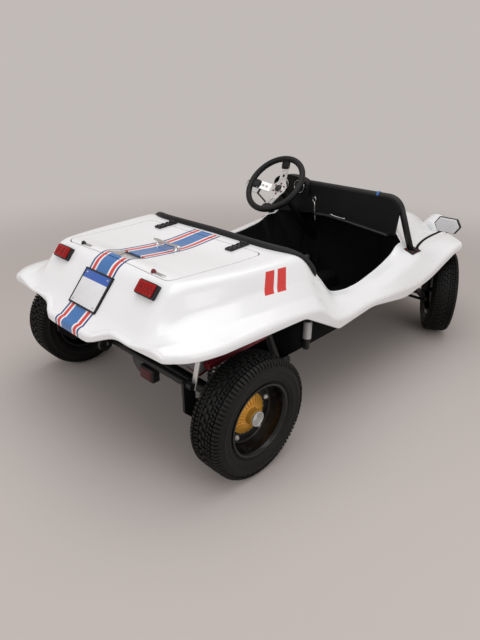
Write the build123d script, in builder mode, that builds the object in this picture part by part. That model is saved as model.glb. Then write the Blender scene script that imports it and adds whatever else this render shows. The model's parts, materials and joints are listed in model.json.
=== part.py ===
# Dune buggy: a fibreglass body on a floor pan with a rear engine, its front wheels turned to the left
# Millimetres, X forward, Y left, Z up, origin on the ground under the middle of the wheelbase
import os
from collections import namedtuple
from math import copysign, cos, radians, sin, tan

from build123d import *

os.makedirs("parts", exist_ok=True)

# Main sizes
WHEELBASE = 2058
TRACK_REAR = 1474
TRACK_FRONT = 1288
TYRE_RADIUS = 290
TYRE_WIDTH_REAR = 180
TYRE_WIDTH_FRONT = 165
STEER = 33
WALL = 8
GAP = 0.4
LID_GAP = 5
REAR_X = -WHEELBASE / 2
FRONT_X = WHEELBASE / 2


def save(part, label):
    part.label = label
    export_step(part, "parts/" + label + ".step")


def rounded(corners):
    # Lines joined by arcs round a closed outline, each corner given as across, up, radius
    points = [Vector(corner[0], corner[1]) for corner in corners]
    ends = []
    for index, corner in enumerate(corners):
        here = points[index]
        back = (points[index - 1] - here).normalized()
        ahead = (points[(index + 1) % len(points)] - here).normalized()
        half = radians(min(back.get_angle(ahead), 179.4)) / 2
        reach = corner[2] / tan(half)
        middle = here + (back + ahead) * ((corner[2] / sin(half) - corner[2]) / (2 * cos(half)))
        ends.append((here + back * reach, middle, here + ahead * reach))
    for index, (start, middle, end) in enumerate(ends):
        if corners[index][2] > 0 and (end - middle).cross(start - middle).length > 1e-3:
            ThreePointArc(start, middle, end)
        elif corners[index][2] > 0:
            Line(start, end)
        Line(end, ends[(index + 1) % len(ends)][0])


# Body: half sections from tail to nose
Station = namedtuple(
    "Station", "x crown shoulder_y shoulder_z waist_y waist_z crest_y crest_z lip_y lip_z"
)
STATIONS = [
    Station(-1490, 610, 258, 607, 400, 650, 600, 688, 715, 670),
    Station(-1384, 694, 345, 689, 455, 703, 620, 711, 735, 688),
    Station(-1290, 808, 415, 798, 500, 736, 630, 716, 742, 690),
    Station(-1228, 878, 458, 864, 535, 755, 640, 720, 744, 690),
    Station(-1175, 896, 484, 881, 552, 765, 646, 722, 745, 690),
    Station(-1090, 879, 506, 884, 570, 775, 655, 724, 745, 688),
    Station(-850, 868, 556, 887, 605, 788, 670, 726, 745, 688),
    Station(-560, 898, 626, 891, 655, 790, 692, 718, 745, 660),
    Station(-400, 830, 618, 760, 642, 690, 682, 630, 745, 560),
    Station(-280, 700, 607, 640, 642, 622, 686, 592, 745, 545),
    Station(-100, 680, 605, 618, 642, 608, 690, 588, 745, 555),
    Station(180, 740, 600, 672, 636, 660, 686, 624, 747, 540),
    Station(420, 830, 575, 730, 618, 708, 675, 660, 748, 520),
    Station(600, 905, 480, 800, 580, 716, 660, 678, 750, 548),
    Station(1029, 858, 330, 800, 450, 690, 620, 692, 750, 676),
    Station(1260, 795, 290, 742, 420, 655, 600, 680, 745, 672),
    Station(1400, 715, 260, 664, 390, 602, 575, 612, 735, 590),
    Station(1480, 600, 235, 570, 365, 545, 550, 550, 715, 530),
]
SKIRT_Z = 470
LIP_RADIUS = 20
CREST_RADIUS = 80
WAIST_RADIUS = 55
SHOULDER_RADIUS = 50
CROWN_RADIUS = 700


def section(station, inset):
    # The half outline moved inwards by the inset and mirrored into a closed ring of corners
    raw = [
        (station.lip_y, SKIRT_Z, 0),
        (station.lip_y, station.lip_z, LIP_RADIUS),
        (station.crest_y, station.crest_z, CREST_RADIUS),
        (station.waist_y, station.waist_z, WAIST_RADIUS),
        (station.shoulder_y, station.shoulder_z, SHOULDER_RADIUS),
        (0, station.crown, CROWN_RADIUS),
    ]
    moved = []
    for index in range(1, len(raw) - 1):
        before, here, after = [Vector(point[0], point[1]) for point in raw[index - 1:index + 2]]
        first = (here - before).normalized()
        second = (after - here).normalized()
        turn = first.X * second.Y - first.Y * second.X
        normal = Vector(-first.Y - second.Y, first.X + second.X).normalized()
        length = inset / (normal.X * -first.Y + normal.Y * first.X)
        spot = here + normal * length
        radius = raw[index][2] - inset if turn > 0 else raw[index][2] + inset
        moved.append((spot.X, spot.Y, max(radius, 2)))
    half = [(station.lip_y - inset, SKIRT_Z - inset, 0)] + moved
    crown = [(0, station.crown - inset, CROWN_RADIUS)]
    return half + crown + [(-y, z, radius) for y, z, radius in reversed(half)]


def hull(inset):
    with BuildPart() as solid:
        for station in STATIONS:
            x = station.x - max(inset, 0) if station is STATIONS[-1] else station.x
            with BuildSketch(Plane.YZ.offset(x)):
                with BuildLine():
                    rounded(section(station, inset))
                make_face()
        loft(ruled=True)
    return solid.part


outside = hull(0)
inside = hull(WALL)
below = hull(WALL + GAP)
above = hull(-GAP)

# Edges of the shell: the lower lip in side view, then tail, nose, cockpit and engine lid in plan
LIP_LINE = [
    (-1600, 300, 0),
    (-1600, 694, 0),
    (-1215, 674, 400),
    (-690, 662, 70),
    (-362, 506, 50),
    (-20, 528, 500),
    (350, 476, 300),
    (640, 518, 300),
    (940, 628, 200),
    (1180, 650, 200),
    (1340, 640, 150),
    (1500, 500, 0),
    (1600, 300, 0),
]
TAIL_END = -1478
TAIL_NOTCH = [
    (-1600, 258, 0),
    (-1466, 258, 20),
    (-1392, 330, 50),
    (-1394, 430, 100),
    (-1390, 725, 85),
    (-1150, 775, 0),
    (-1150, 850, 0),
    (-1600, 850, 0),
]
NOSE_NOTCH = [
    (1600, 470, 0),
    (1440, 470, 60),
    (1230, 520, 120),
    (1130, 660, 90),
    (1050, 765, 0),
    (1050, 850, 0),
    (1600, 850, 0),
]
COCKPIT_REAR = -535
COCKPIT_FRONT = 585
COCKPIT_HALF_REAR = 612
COCKPIT_HALF_MIDDLE = 600
COCKPIT_HALF_FRONT = 540
LID_REAR = -1205
LID_FRONT = -648
LID_HALF_REAR = 425
LID_HALF_FRONT = 450
LID_CORNER = 50


def plan(points, low, high, inset=0):
    # A prism over a plan outline
    with BuildPart() as prism:
        with BuildSketch(Plane.XY.offset(low)):
            with BuildLine():
                rounded(points)
            make_face()
            if inset:
                offset(amount=-inset, kind=Kind.INTERSECTION, mode=Mode.REPLACE)
        extrude(amount=high - low)
    return prism.part


lid_outline = [
    (LID_REAR, -LID_HALF_REAR, LID_CORNER),
    (LID_FRONT, -LID_HALF_FRONT, LID_CORNER),
    (LID_FRONT, LID_HALF_FRONT, LID_CORNER),
    (LID_REAR, LID_HALF_REAR, LID_CORNER),
]
cockpit_outline = [
    (COCKPIT_REAR, -COCKPIT_HALF_REAR, 0),
    (0, -COCKPIT_HALF_MIDDLE, 0),
    (COCKPIT_FRONT, -COCKPIT_HALF_FRONT, 0),
    (COCKPIT_FRONT, COCKPIT_HALF_FRONT, 0),
    (0, COCKPIT_HALF_MIDDLE, 0),
    (COCKPIT_REAR, COCKPIT_HALF_REAR, 0),
]

with BuildPart() as skin:
    add(outside)
    add(inside, mode=Mode.SUBTRACT)
    for side in (1, -1):
        with BuildSketch(Plane.XZ.offset(-side * 500)):
            with BuildLine():
                rounded(LIP_LINE)
            make_face()
        extrude(amount=-side * 300, mode=Mode.SUBTRACT)
        for notch in (TAIL_NOTCH, NOSE_NOTCH):
            with BuildSketch(Plane.XY.offset(300)):
                with BuildLine():
                    rounded([(x, side * y, radius) for x, y, radius in notch])
                make_face()
            extrude(amount=700, mode=Mode.SUBTRACT)
    with Locations((TAIL_END - 50, 0, 600)):
        Box(100, 1700, 600, mode=Mode.SUBTRACT)

with BuildPart() as body_shell:
    add(skin.part)
    add(plan(cockpit_outline, 300, 1200), mode=Mode.SUBTRACT)
    add(plan(lid_outline, 600, 1200), mode=Mode.SUBTRACT)
save(body_shell.part, "body_shell")

# Engine lid: cut from the same skin, with an air outlet at its rear edge and a plate that slopes under it
VENT_FRONT = -1082
VENT_REAR = -1180
VENT_HALF = 88
with BuildPart() as engine_lid:
    add(skin.part)
    add(plan(lid_outline, 600, 1200, LID_GAP), mode=Mode.INTERSECT)
    with Locations(((VENT_FRONT + VENT_REAR) / 2, 0, 900)):
        Box(VENT_FRONT - VENT_REAR, 2 * VENT_HALF, 200, mode=Mode.SUBTRACT)
save(engine_lid.part, "engine_lid")

with BuildPart() as lid_vent_plate:
    with BuildSketch(Plane.XZ):
        with BuildLine():
            Polyline(
                (VENT_FRONT + 30, 868 - GAP),
                (VENT_FRONT + 30, 862),
                (VENT_REAR + 20, 846),
                (VENT_REAR - 12, 846),
                (VENT_REAR - 12, 880),
                (VENT_REAR - 4, 880),
                (VENT_REAR - 4, 852),
                (VENT_REAR + 20, 852),
                close=True,
            )
        make_face()
    extrude(amount=VENT_HALF, both=True)
    with BuildPart(mode=Mode.INTERSECT):
        add(below)
save(lid_vent_plate.part, "lid_vent_plate")

# Fuel cap on the bonnet
CAP_X = 960
CAP_RADIUS = 44
CAP_TOP = 888
with BuildPart() as fuel_cap:
    with BuildSketch(Plane.XY.offset(CAP_TOP)):
        with Locations((CAP_X, 0)):
            Circle(CAP_RADIUS)
    extrude(amount=-60)
    add(above, mode=Mode.SUBTRACT)
save(fuel_cap.part, "fuel_cap")

# Cockpit tub: walls inside the opening, a floor drawn in below them and a foot well under the bonnet
FLOOR_Z = 285
SILL_Z = 385
CHINE = 115
TUB_WALL = 8
WELL_START = 680
WELL_END = 800
WELL_HALF = 355
tub_outline = [
    (COCKPIT_REAR, -COCKPIT_HALF_REAR, 0),
    (0, -COCKPIT_HALF_MIDDLE, 0),
    (COCKPIT_FRONT, -COCKPIT_HALF_FRONT, 0),
    (WELL_START, -WELL_HALF, 0),
    (WELL_END, -WELL_HALF, 0),
    (WELL_END, WELL_HALF, 0),
    (WELL_START, WELL_HALF, 0),
    (COCKPIT_FRONT, COCKPIT_HALF_FRONT, 0),
    (0, COCKPIT_HALF_MIDDLE, 0),
    (COCKPIT_REAR, COCKPIT_HALF_REAR, 0),
]
floor_outline = [(x, copysign(max(abs(y) - CHINE, WELL_HALF), y), 0) for x, y, radius in tub_outline]
FLOOR_TOP = FLOOR_Z + TUB_WALL


def tub_block(low, inset):
    with BuildPart() as block:
        for z, outline in ((low, floor_outline), (SILL_Z, tub_outline)):
            with BuildSketch(Plane.XY.offset(z)):
                with BuildLine():
                    rounded(outline)
                make_face()
                if inset:
                    offset(amount=-inset, kind=Kind.INTERSECTION, mode=Mode.REPLACE)
        loft(ruled=True)
        add(plan(tub_outline, SILL_Z, 1100 + inset, inset))
    return block.part


with BuildPart() as cockpit_tub:
    add(tub_block(FLOOR_Z, 0))
    add(tub_block(FLOOR_TOP, TUB_WALL), mode=Mode.SUBTRACT)
    with BuildPart(mode=Mode.SUBTRACT):
        with Locations((0, 0, 900)):
            Box(3200, 2000, 800)
        add(below, mode=Mode.SUBTRACT)
save(cockpit_tub.part, "cockpit_tub")

TUNNEL_HALF = 75
TUNNEL_TOP = 390
with BuildPart() as floor_tunnel:
    with BuildSketch(Plane.YZ.offset(COCKPIT_REAR + TUB_WALL)):
        with BuildLine():
            rounded(
                [
                    (-TUNNEL_HALF, FLOOR_TOP, 0),
                    (TUNNEL_HALF, FLOOR_TOP, 0),
                    (TUNNEL_HALF - 15, TUNNEL_TOP, 40),
                    (15 - TUNNEL_HALF, TUNNEL_TOP, 40),
                ]
            )
        make_face()
    extrude(amount=1140)
save(floor_tunnel.part, "floor_tunnel")

# Seats: two low buckets, each a bent side profile
SEAT_Y = 280
SEAT_WIDTH = 350
with BuildPart() as seats:
    for side in (1, -1):
        with BuildSketch(Plane.XZ.offset(-side * SEAT_Y)):
            with BuildLine():
                rounded(
                    [
                        (-400, FLOOR_TOP, 30),
                        (125, FLOOR_TOP, 10),
                        (140, 372, 30),
                        (-250, 342, 60),
                        (-395, 780, 35),
                        (-512, 800, 40),
                    ]
                )
            make_face()
        extrude(amount=SEAT_WIDTH / 2, both=True)
save(seats.part, "seats")

# Padded roll on the front edge of the rear deck, turned forwards along the cockpit's sides
ROLL_WIDTH = 62
ROLL_HEIGHT = 34
ROLL_LENGTH = 1290
ROLL_LEG = 66
roll_outside = hull(-GAP - ROLL_HEIGHT)
with BuildPart() as cockpit_roll:
    with Locations((COCKPIT_REAR - ROLL_WIDTH / 2 - 1, 0, 900)):
        Box(ROLL_WIDTH, ROLL_LENGTH, 260)
    for side in (1, -1):
        with Locations((COCKPIT_REAR + ROLL_LEG / 2 - 1, side * (ROLL_LENGTH / 2 + COCKPIT_HALF_REAR + 1) / 2, 840)):
            Box(ROLL_LEG, ROLL_LENGTH / 2 - COCKPIT_HALF_REAR - 1, 380)
    add(roll_outside, mode=Mode.INTERSECT)
    add(above, mode=Mode.SUBTRACT)
save(cockpit_roll.part, "cockpit_roll")

# Dash hoop with foot plates
HOOP_X = 595
HOOP_TUBE = 20
HOOP_FOOT_Y = 597
HOOP_FOOT_Z = 700
HOOP_BEND = 120
HOOP_BEND_Y = 372
HOOP_BEND_Z = 963
HOOP_TOP = 985
FOOT_TOP = 724
with BuildPart() as dash_hoop:
    with BuildLine(Plane.YZ.offset(HOOP_X)) as hoop_line:
        FilletPolyline(
            (-HOOP_FOOT_Y, HOOP_FOOT_Z),
            (-HOOP_BEND_Y, HOOP_BEND_Z),
            (0, HOOP_TOP),
            (HOOP_BEND_Y, HOOP_BEND_Z),
            (HOOP_FOOT_Y, HOOP_FOOT_Z),
            radius=HOOP_BEND,
        )
    with BuildSketch(Plane(hoop_line.line @ 0, z_dir=hoop_line.line % 0)):
        Circle(HOOP_TUBE)
    sweep()
    for side in (1, -1):
        with Locations((HOOP_X + 10, side * (HOOP_FOOT_Y + 12), FOOT_TOP - 30)):
            Box(110, 90, 60)
    add(above, mode=Mode.SUBTRACT)
save(dash_hoop.part, "dash_hoop")

# Steering column line, from the wheel's centre down to the foot well's front wall
WHEEL_X = 288
WHEEL_Y = 300
WHEEL_Z = 1012
RAKE = 42.7
COLUMN_RADIUS = 19
COLUMN_START = 62
column_line = (-cos(radians(RAKE)), 0, sin(radians(RAKE)))
column_axis = Plane((WHEEL_X, WHEEL_Y, WHEEL_Z), x_dir=(0, 1, 0), z_dir=column_line)
with BuildPart() as steering_column:
    with BuildSketch(column_axis.offset(-COLUMN_START)):
        Circle(COLUMN_RADIUS)
    extrude(amount=-680)
    with Locations((WELL_END - TUB_WALL - GAP + 150, WHEEL_Y, 550)):
        Box(300, 300, 600, mode=Mode.SUBTRACT)
save(steering_column.part, "steering_column")

# Dash panel with a shelf, under the hoop
DASH_THICK = 19
DASH_BACK = HOOP_X - HOOP_TUBE - GAP
DASH_LOW = 735
SHELF_DEPTH = 55
SHELF_THICK = 12
with BuildPart() as dash_panel:
    with BuildSketch(Plane.YZ.offset(DASH_BACK - DASH_THICK)):
        with BuildLine():
            rounded(
                [
                    (-505, DASH_LOW, 20),
                    (505, DASH_LOW, 20),
                    (505, 795, 20),
                    (362, HOOP_BEND_Z, HOOP_BEND),
                    (0, HOOP_TOP, 300),
                    (-362, HOOP_BEND_Z, HOOP_BEND),
                    (-505, 795, 20),
                ]
            )
        make_face()
    extrude(amount=DASH_THICK)
    with Locations((DASH_BACK - DASH_THICK - SHELF_DEPTH / 2, 0, DASH_LOW + SHELF_THICK / 2)):
        Box(SHELF_DEPTH, 980, SHELF_THICK)
    with BuildSketch(column_axis):
        Circle(COLUMN_RADIUS + 6)
    extrude(amount=-700, mode=Mode.SUBTRACT)
save(dash_panel.part, "dash_panel")

# Mirrors: stalks on the foot plates, six-sided heads and their glasses
HEAD_X = 605
HEAD_Y = 798
HEAD_Z = 883
HEAD_WIDTH = 166
HEAD_HEIGHT = 88
HEAD_DEPTH = 26
GLASS_THICK = 3
head_outline = [
    (-HEAD_WIDTH / 2, 0),
    (-HEAD_WIDTH / 3, -HEAD_HEIGHT / 2),
    (HEAD_WIDTH / 3, -HEAD_HEIGHT / 2),
    (HEAD_WIDTH / 2, 0),
    (HEAD_WIDTH / 3, HEAD_HEIGHT / 2),
    (-HEAD_WIDTH / 3, HEAD_HEIGHT / 2),
]
with BuildPart() as mirrors:
    for side in (1, -1):
        with BuildLine() as stalk_line:
            Polyline(
                (HOOP_X + 40, side * 622, FOOT_TOP),
                (HOOP_X + 40, side * 622, FOOT_TOP + 20),
                (HEAD_X + 15, side * HEAD_Y, HEAD_Z - 30),
            )
        with BuildSketch(Plane((HOOP_X + 40, side * 622, FOOT_TOP))):
            Circle(7)
        sweep(transition=Transition.ROUND)
        with BuildSketch(Plane((HEAD_X, side * HEAD_Y, HEAD_Z), x_dir=(0, 1, 0), z_dir=(1, 0, 0))):
            with BuildLine():
                Polyline(*head_outline, close=True)
            make_face()
        extrude(amount=HEAD_DEPTH)
save(mirrors.part, "mirrors")

with BuildPart() as mirror_glasses:
    for side in (1, -1):
        with BuildSketch(Plane((HEAD_X - GLASS_THICK, side * HEAD_Y, HEAD_Z), x_dir=(0, 1, 0), z_dir=(1, 0, 0))):
            with BuildLine():
                Polyline(*head_outline, close=True)
            make_face()
            offset(amount=-6, mode=Mode.REPLACE)
        extrude(amount=GLASS_THICK)
save(mirror_glasses.part, "mirror_glasses")

# Steering wheel: padded rim, three spokes and hub
RIM_RADIUS = 204
RIM_TUBE = 17.5
SPOKE_TURNS = [95, 5, -85]
SPOKE_WIDTH = 54
DISH = 38
with BuildPart() as steering_rim:
    with BuildSketch(Plane(column_axis.origin, x_dir=column_axis.x_dir, z_dir=column_axis.y_dir)):
        with Locations((RIM_RADIUS, 0)):
            Circle(RIM_TUBE)
    revolve(axis=Axis(column_axis.origin, column_axis.z_dir))
save(steering_rim.part, "steering_rim")

with BuildPart() as steering_spokes:
    with BuildSketch(column_axis.offset(-DISH - 2)):
        Circle(58)
    extrude(amount=4)
    with BuildSketch(column_axis.offset(-COLUMN_START + GAP)):
        Circle(30)
    extrude(amount=COLUMN_START - DISH)
    for turn in SPOKE_TURNS:
        spoke = Plane(column_axis.location * Rotation(0, 0, turn))
        with BuildSketch(Plane(spoke.origin, x_dir=spoke.x_dir, z_dir=-spoke.y_dir)):
            with BuildLine():
                Polyline(
                    (30, -DISH - 2),
                    (72, -DISH - 2),
                    (RIM_RADIUS, -2),
                    (RIM_RADIUS, 2),
                    (72, 2 - DISH),
                    (30, 2 - DISH),
                    close=True,
                )
            make_face()
        extrude(amount=SPOKE_WIDTH / 2, both=True)
        with BuildSketch(spoke.offset(-DISH - 10)):
            with Locations((96, 0), (126, 0), (156, 0)):
                Circle(11)
        extrude(amount=60, mode=Mode.SUBTRACT)
    add(steering_rim.part, mode=Mode.SUBTRACT)
save(steering_spokes.part, "steering_spokes")

# Levers and pedals
with BuildPart() as gear_lever:
    with BuildLine() as lever_line:
        Polyline((230, -12, TUNNEL_TOP + 8), (250, -20, TUNNEL_TOP + 80), (268, -30, 560))
    with BuildSketch(Plane(lever_line.line @ 0, z_dir=lever_line.line % 0)):
        Circle(7)
    sweep(transition=Transition.ROUND)
    with Locations((268, -30, 570)):
        Sphere(24)
    with Locations((230, -12, TUNNEL_TOP + 10)):
        Cone(32, 12, 20)
save(gear_lever.part, "gear_lever")

with BuildPart() as handbrake:
    with BuildLine() as brake_line:
        Polyline((-20, 10, TUNNEL_TOP), (-20, 10, TUNNEL_TOP + 30), (-230, 10, TUNNEL_TOP + 90))
    with BuildSketch(Plane((-20, 10, TUNNEL_TOP))):
        Circle(10)
    sweep(transition=Transition.ROUND)
save(handbrake.part, "handbrake")

PEDAL_YS = [190, 255, 320]
with BuildPart() as pedals:
    for y in PEDAL_YS:
        with Locations((690, y, FLOOR_TOP + 70)):
            Box(12, 14, 140)
        with Locations((680, y, FLOOR_TOP + 130)):
            Box(12, 50, 60)
save(pedals.part, "pedals")

# Hinges of the engine lid: leaves on the deck, straps with barrels on the lid
HINGE_X = -618
HINGE_Z = 902
HINGE_YS = [285, -285]
BARREL = 8
STRAP_WIDTH = 46
STRAP_LENGTH = 110
STRAP_THICK = 10
LEAF_LENGTH = 18
lid_top = hull(-GAP - STRAP_THICK)
with BuildPart() as lid_hinge_straps:
    for y in HINGE_YS:
        with Locations((HINGE_X - STRAP_LENGTH / 2, y, HINGE_Z - 20)):
            Box(STRAP_LENGTH, STRAP_WIDTH, 120)
    add(lid_top, mode=Mode.INTERSECT)
    add(above, mode=Mode.SUBTRACT)
    for y in HINGE_YS:
        with Locations(Location((HINGE_X, y, HINGE_Z), (90, 0, 0))):
            Cylinder(BARREL, STRAP_WIDTH)
save(lid_hinge_straps.part, "lid_hinge_straps")

with BuildPart() as lid_hinge_leaves:
    for y in HINGE_YS:
        with Locations((HINGE_X + LEAF_LENGTH / 2, y, HINGE_Z - 20)):
            Box(LEAF_LENGTH, STRAP_WIDTH, 120)
    add(lid_top, mode=Mode.INTERSECT)
    add(above, mode=Mode.SUBTRACT)
    for y in HINGE_YS:
        with Locations(Location((HINGE_X, y, HINGE_Z), (90, 0, 0))):
            Cylinder(BARREL + GAP, STRAP_WIDTH + 2, mode=Mode.SUBTRACT)
save(lid_hinge_leaves.part, "lid_hinge_leaves")

# Lid handle: a bar on two posts
HANDLE_X = -884
HANDLE_HALF = 75
HANDLE_TOP = 896
HANDLE_ROOT = 840
with BuildPart() as lid_handle:
    with BuildLine(Plane.YZ.offset(HANDLE_X)) as handle_line:
        FilletPolyline(
            (-HANDLE_HALF, HANDLE_ROOT),
            (-HANDLE_HALF, HANDLE_TOP),
            (HANDLE_HALF, HANDLE_TOP),
            (HANDLE_HALF, HANDLE_ROOT),
            radius=14,
        )
    with BuildSketch(Plane(handle_line.line @ 0, z_dir=handle_line.line % 0)):
        Circle(8)
    sweep()
    add(above, mode=Mode.SUBTRACT)
save(lid_handle.part, "lid_handle")

# Tail lamps and number plate on the sloping rear panel
TAIL_SLOPE = 51
LAMP_X = -1258
LAMP_Y = 350
LAMP_Z = 836
LAMP_WIDTH = 124
LAMP_HEIGHT = 68
LAMP_RISE = 22
LENS_THICK = 10


def tail_plane(x, y, z):
    slope = radians(TAIL_SLOPE)
    return Plane((x, y, z), x_dir=(0, 1, 0), z_dir=(-sin(slope), 0, cos(slope)))


with BuildPart() as tail_lamp_housings:
    for side in (1, -1):
        with BuildSketch(tail_plane(LAMP_X, side * LAMP_Y, LAMP_Z).offset(LAMP_RISE)):
            RectangleRounded(LAMP_WIDTH, LAMP_HEIGHT, 10)
        extrude(amount=-60)
    add(above, mode=Mode.SUBTRACT)
save(tail_lamp_housings.part, "tail_lamp_housings")

with BuildPart() as tail_lamp_lenses:
    for side in (1, -1):
        with BuildSketch(tail_plane(LAMP_X, side * LAMP_Y, LAMP_Z).offset(LAMP_RISE)):
            RectangleRounded(LAMP_WIDTH - 10, LAMP_HEIGHT - 10, 8)
        extrude(amount=LENS_THICK)
save(tail_lamp_lenses.part, "tail_lamp_lenses")

PLATE_X = -1333
PLATE_Z = 756
PLATE_WIDTH = 224
PLATE_HEIGHT = 184
PLATE_RISE = 9
with BuildPart() as number_plate:
    with BuildSketch(tail_plane(PLATE_X, 0, PLATE_Z).offset(PLATE_RISE)):
        RectangleRounded(PLATE_WIDTH, PLATE_HEIGHT, 10)
    extrude(amount=-40)
    add(above, mode=Mode.SUBTRACT)
save(number_plate.part, "number_plate")

# Headlamps: bowls on the nose and their lenses
HEADLAMP_Y = 370
HEADLAMP_Z = 655
HEADLAMP_FACE = 1452
HEADLAMP_RADIUS = 88
with BuildPart() as headlamp_bowls:
    for side in (1, -1):
        with BuildSketch(Plane.YZ.offset(HEADLAMP_FACE)):
            with Locations((side * HEADLAMP_Y, HEADLAMP_Z)):
                Circle(HEADLAMP_RADIUS)
        extrude(amount=-150, taper=12)
    add(above, mode=Mode.SUBTRACT)
save(headlamp_bowls.part, "headlamp_bowls")

with BuildPart() as headlamp_lenses:
    for side in (1, -1):
        with BuildSketch(Plane.YZ.offset(HEADLAMP_FACE)):
            with Locations((side * HEADLAMP_Y, HEADLAMP_Z)):
                Circle(HEADLAMP_RADIUS - 8)
        extrude(amount=18, taper=40)
save(headlamp_lenses.part, "headlamp_lenses")

# Power train: engine block on the gearbox, and exhaust
ENGINE_FRONT = -930
ENGINE_REAR = -1215
ENGINE_HALF = 270
ENGINE_LOW = 420
ENGINE_TOP = 680
with BuildPart() as engine:
    with Locations(((ENGINE_FRONT + ENGINE_REAR) / 2, 0, (ENGINE_LOW + ENGINE_TOP) / 2)):
        Box(ENGINE_FRONT - ENGINE_REAR, 2 * ENGINE_HALF, ENGINE_TOP - ENGINE_LOW)
    chamfer(engine.edges().filter_by(Axis.X), 40)
save(engine.part, "engine")

AXLE_Z = TYRE_RADIUS
BOX_RADIUS = 80
BOX_FRONT = -645
with BuildPart() as gearbox:
    with BuildSketch(Plane.YZ.offset(REAR_X - 60)):
        with Locations((0, AXLE_Z)):
            Circle(BOX_RADIUS)
    extrude(amount=150)
    with BuildSketch(Plane.YZ.offset(REAR_X + 90)):
        with Locations((0, AXLE_Z)):
            Circle(BOX_RADIUS)
    extrude(amount=BOX_FRONT - REAR_X - 90, taper=8)
    with Locations((REAR_X + 15, 0, (AXLE_Z + ENGINE_LOW) / 2)):
        Box(150, 1.6 * BOX_RADIUS, ENGINE_LOW - AXLE_Z)
save(gearbox.part, "gearbox")

MUFFLER_Z = 560
MUFFLER_RADIUS = 45
muffler_x = ENGINE_REAR - MUFFLER_RADIUS - GAP
with BuildPart() as exhaust:
    with Locations(Location((muffler_x, 0, MUFFLER_Z), (90, 0, 0))):
        Cylinder(MUFFLER_RADIUS, 440)
    for side in (1, -1):
        with Locations((muffler_x, side * 150, MUFFLER_Z - MUFFLER_RADIUS / 2)):
            Cylinder(19, MUFFLER_RADIUS + 50)
save(exhaust.part, "exhaust")

# Rear frame: torsion tube behind the tub, trailing arms and the rails that carry the shocks
TORSION_X = -600
TORSION_RADIUS = 45
ARM_INSET = 109
ARM_THICK = 14
AXLE_TUBE = 32
RAIL_END = -1115
RAIL_INSET = 10
RAIL_Z = 495
DRUM_DEPTH_REAR = 68
DRUM_DEPTH_FRONT = 42
rear_face = TRACK_REAR / 2 - DRUM_DEPTH_REAR
arm_y = rear_face - ARM_INSET
rail_y = arm_y - RAIL_INSET
with BuildPart() as rear_frame:
    with Locations(Location((TORSION_X, 0, AXLE_Z), (90, 0, 0))):
        Cylinder(TORSION_RADIUS, 2 * arm_y)
    with Locations((COCKPIT_REAR - GAP - 30, 0, AXLE_Z)):
        Box(60, 700, 120)
    for side in (1, -1):
        with BuildSketch(Plane.XZ.offset(-side * (arm_y + ARM_THICK / 2))):
            with BuildLine():
                rounded(
                    [
                        (TORSION_X + 55, AXLE_Z - 60, 30),
                        (TORSION_X + 55, AXLE_Z + 60, 30),
                        (REAR_X - 60, AXLE_Z + 60, 30),
                        (REAR_X - 60, AXLE_Z - 60, 30),
                    ]
                )
            make_face()
            with Locations((REAR_X, AXLE_Z)):
                Circle(AXLE_TUBE + GAP, mode=Mode.SUBTRACT)
        extrude(amount=ARM_THICK / 2, both=True)
        with BuildLine() as rail_line:
            Polyline(
                (TORSION_X - 20, side * rail_y, AXLE_Z + 30),
                (TORSION_X - 110, side * rail_y, RAIL_Z + 25),
                (RAIL_END, side * rail_y, RAIL_Z),
            )
        with BuildSketch(Plane(rail_line.line @ 0, z_dir=rail_line.line % 0)):
            Circle(20)
        sweep(transition=Transition.ROUND)
save(rear_frame.part, "rear_frame")

# Rear axle: tubes from the gearbox out to the hubs, with stubs in the drums
STUB_RADIUS = 15
RUN_GAP = 0.05
HUB_NOSE = 55
with BuildPart() as rear_axle:
    for side in (1, -1):
        with Locations(Location((REAR_X, side * (rear_face - 3) / 2, AXLE_Z), (90, 0, 0))):
            Cylinder(AXLE_TUBE, rear_face - 3)
        with Locations(Location((REAR_X, side * (TRACK_REAR / 2 + 10) / 2, AXLE_Z), (90, 0, 0))):
            Cylinder(STUB_RADIUS, TRACK_REAR / 2 + 10)
    add(gearbox.part, mode=Mode.SUBTRACT)
    with Locations(Location((REAR_X, 0, AXLE_Z), (90, 0, 0))):
        Cylinder(60, 1.5 * BOX_RADIUS, mode=Mode.SUBTRACT)
save(rear_axle.part, "rear_axle")

SHOCK_RADIUS = 24
with BuildPart() as rear_shocks:
    for side in (1, -1):
        low = Vector(REAR_X - 10, side * (arm_y - 40), AXLE_Z + 20)
        high = Vector(REAR_X - 30, side * rail_y, RAIL_Z + 7)
        with BuildSketch(Plane(low, z_dir=high - low)):
            Circle(SHOCK_RADIUS)
        extrude(amount=(high - low).length * 0.55)
        with BuildSketch(Plane(low, z_dir=high - low)):
            Circle(SHOCK_RADIUS - 9)
        extrude(amount=(high - low).length)
    add(rear_frame.part, mode=Mode.SUBTRACT)
    add(rear_axle.part, mode=Mode.SUBTRACT)
save(rear_shocks.part, "rear_shocks")

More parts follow.
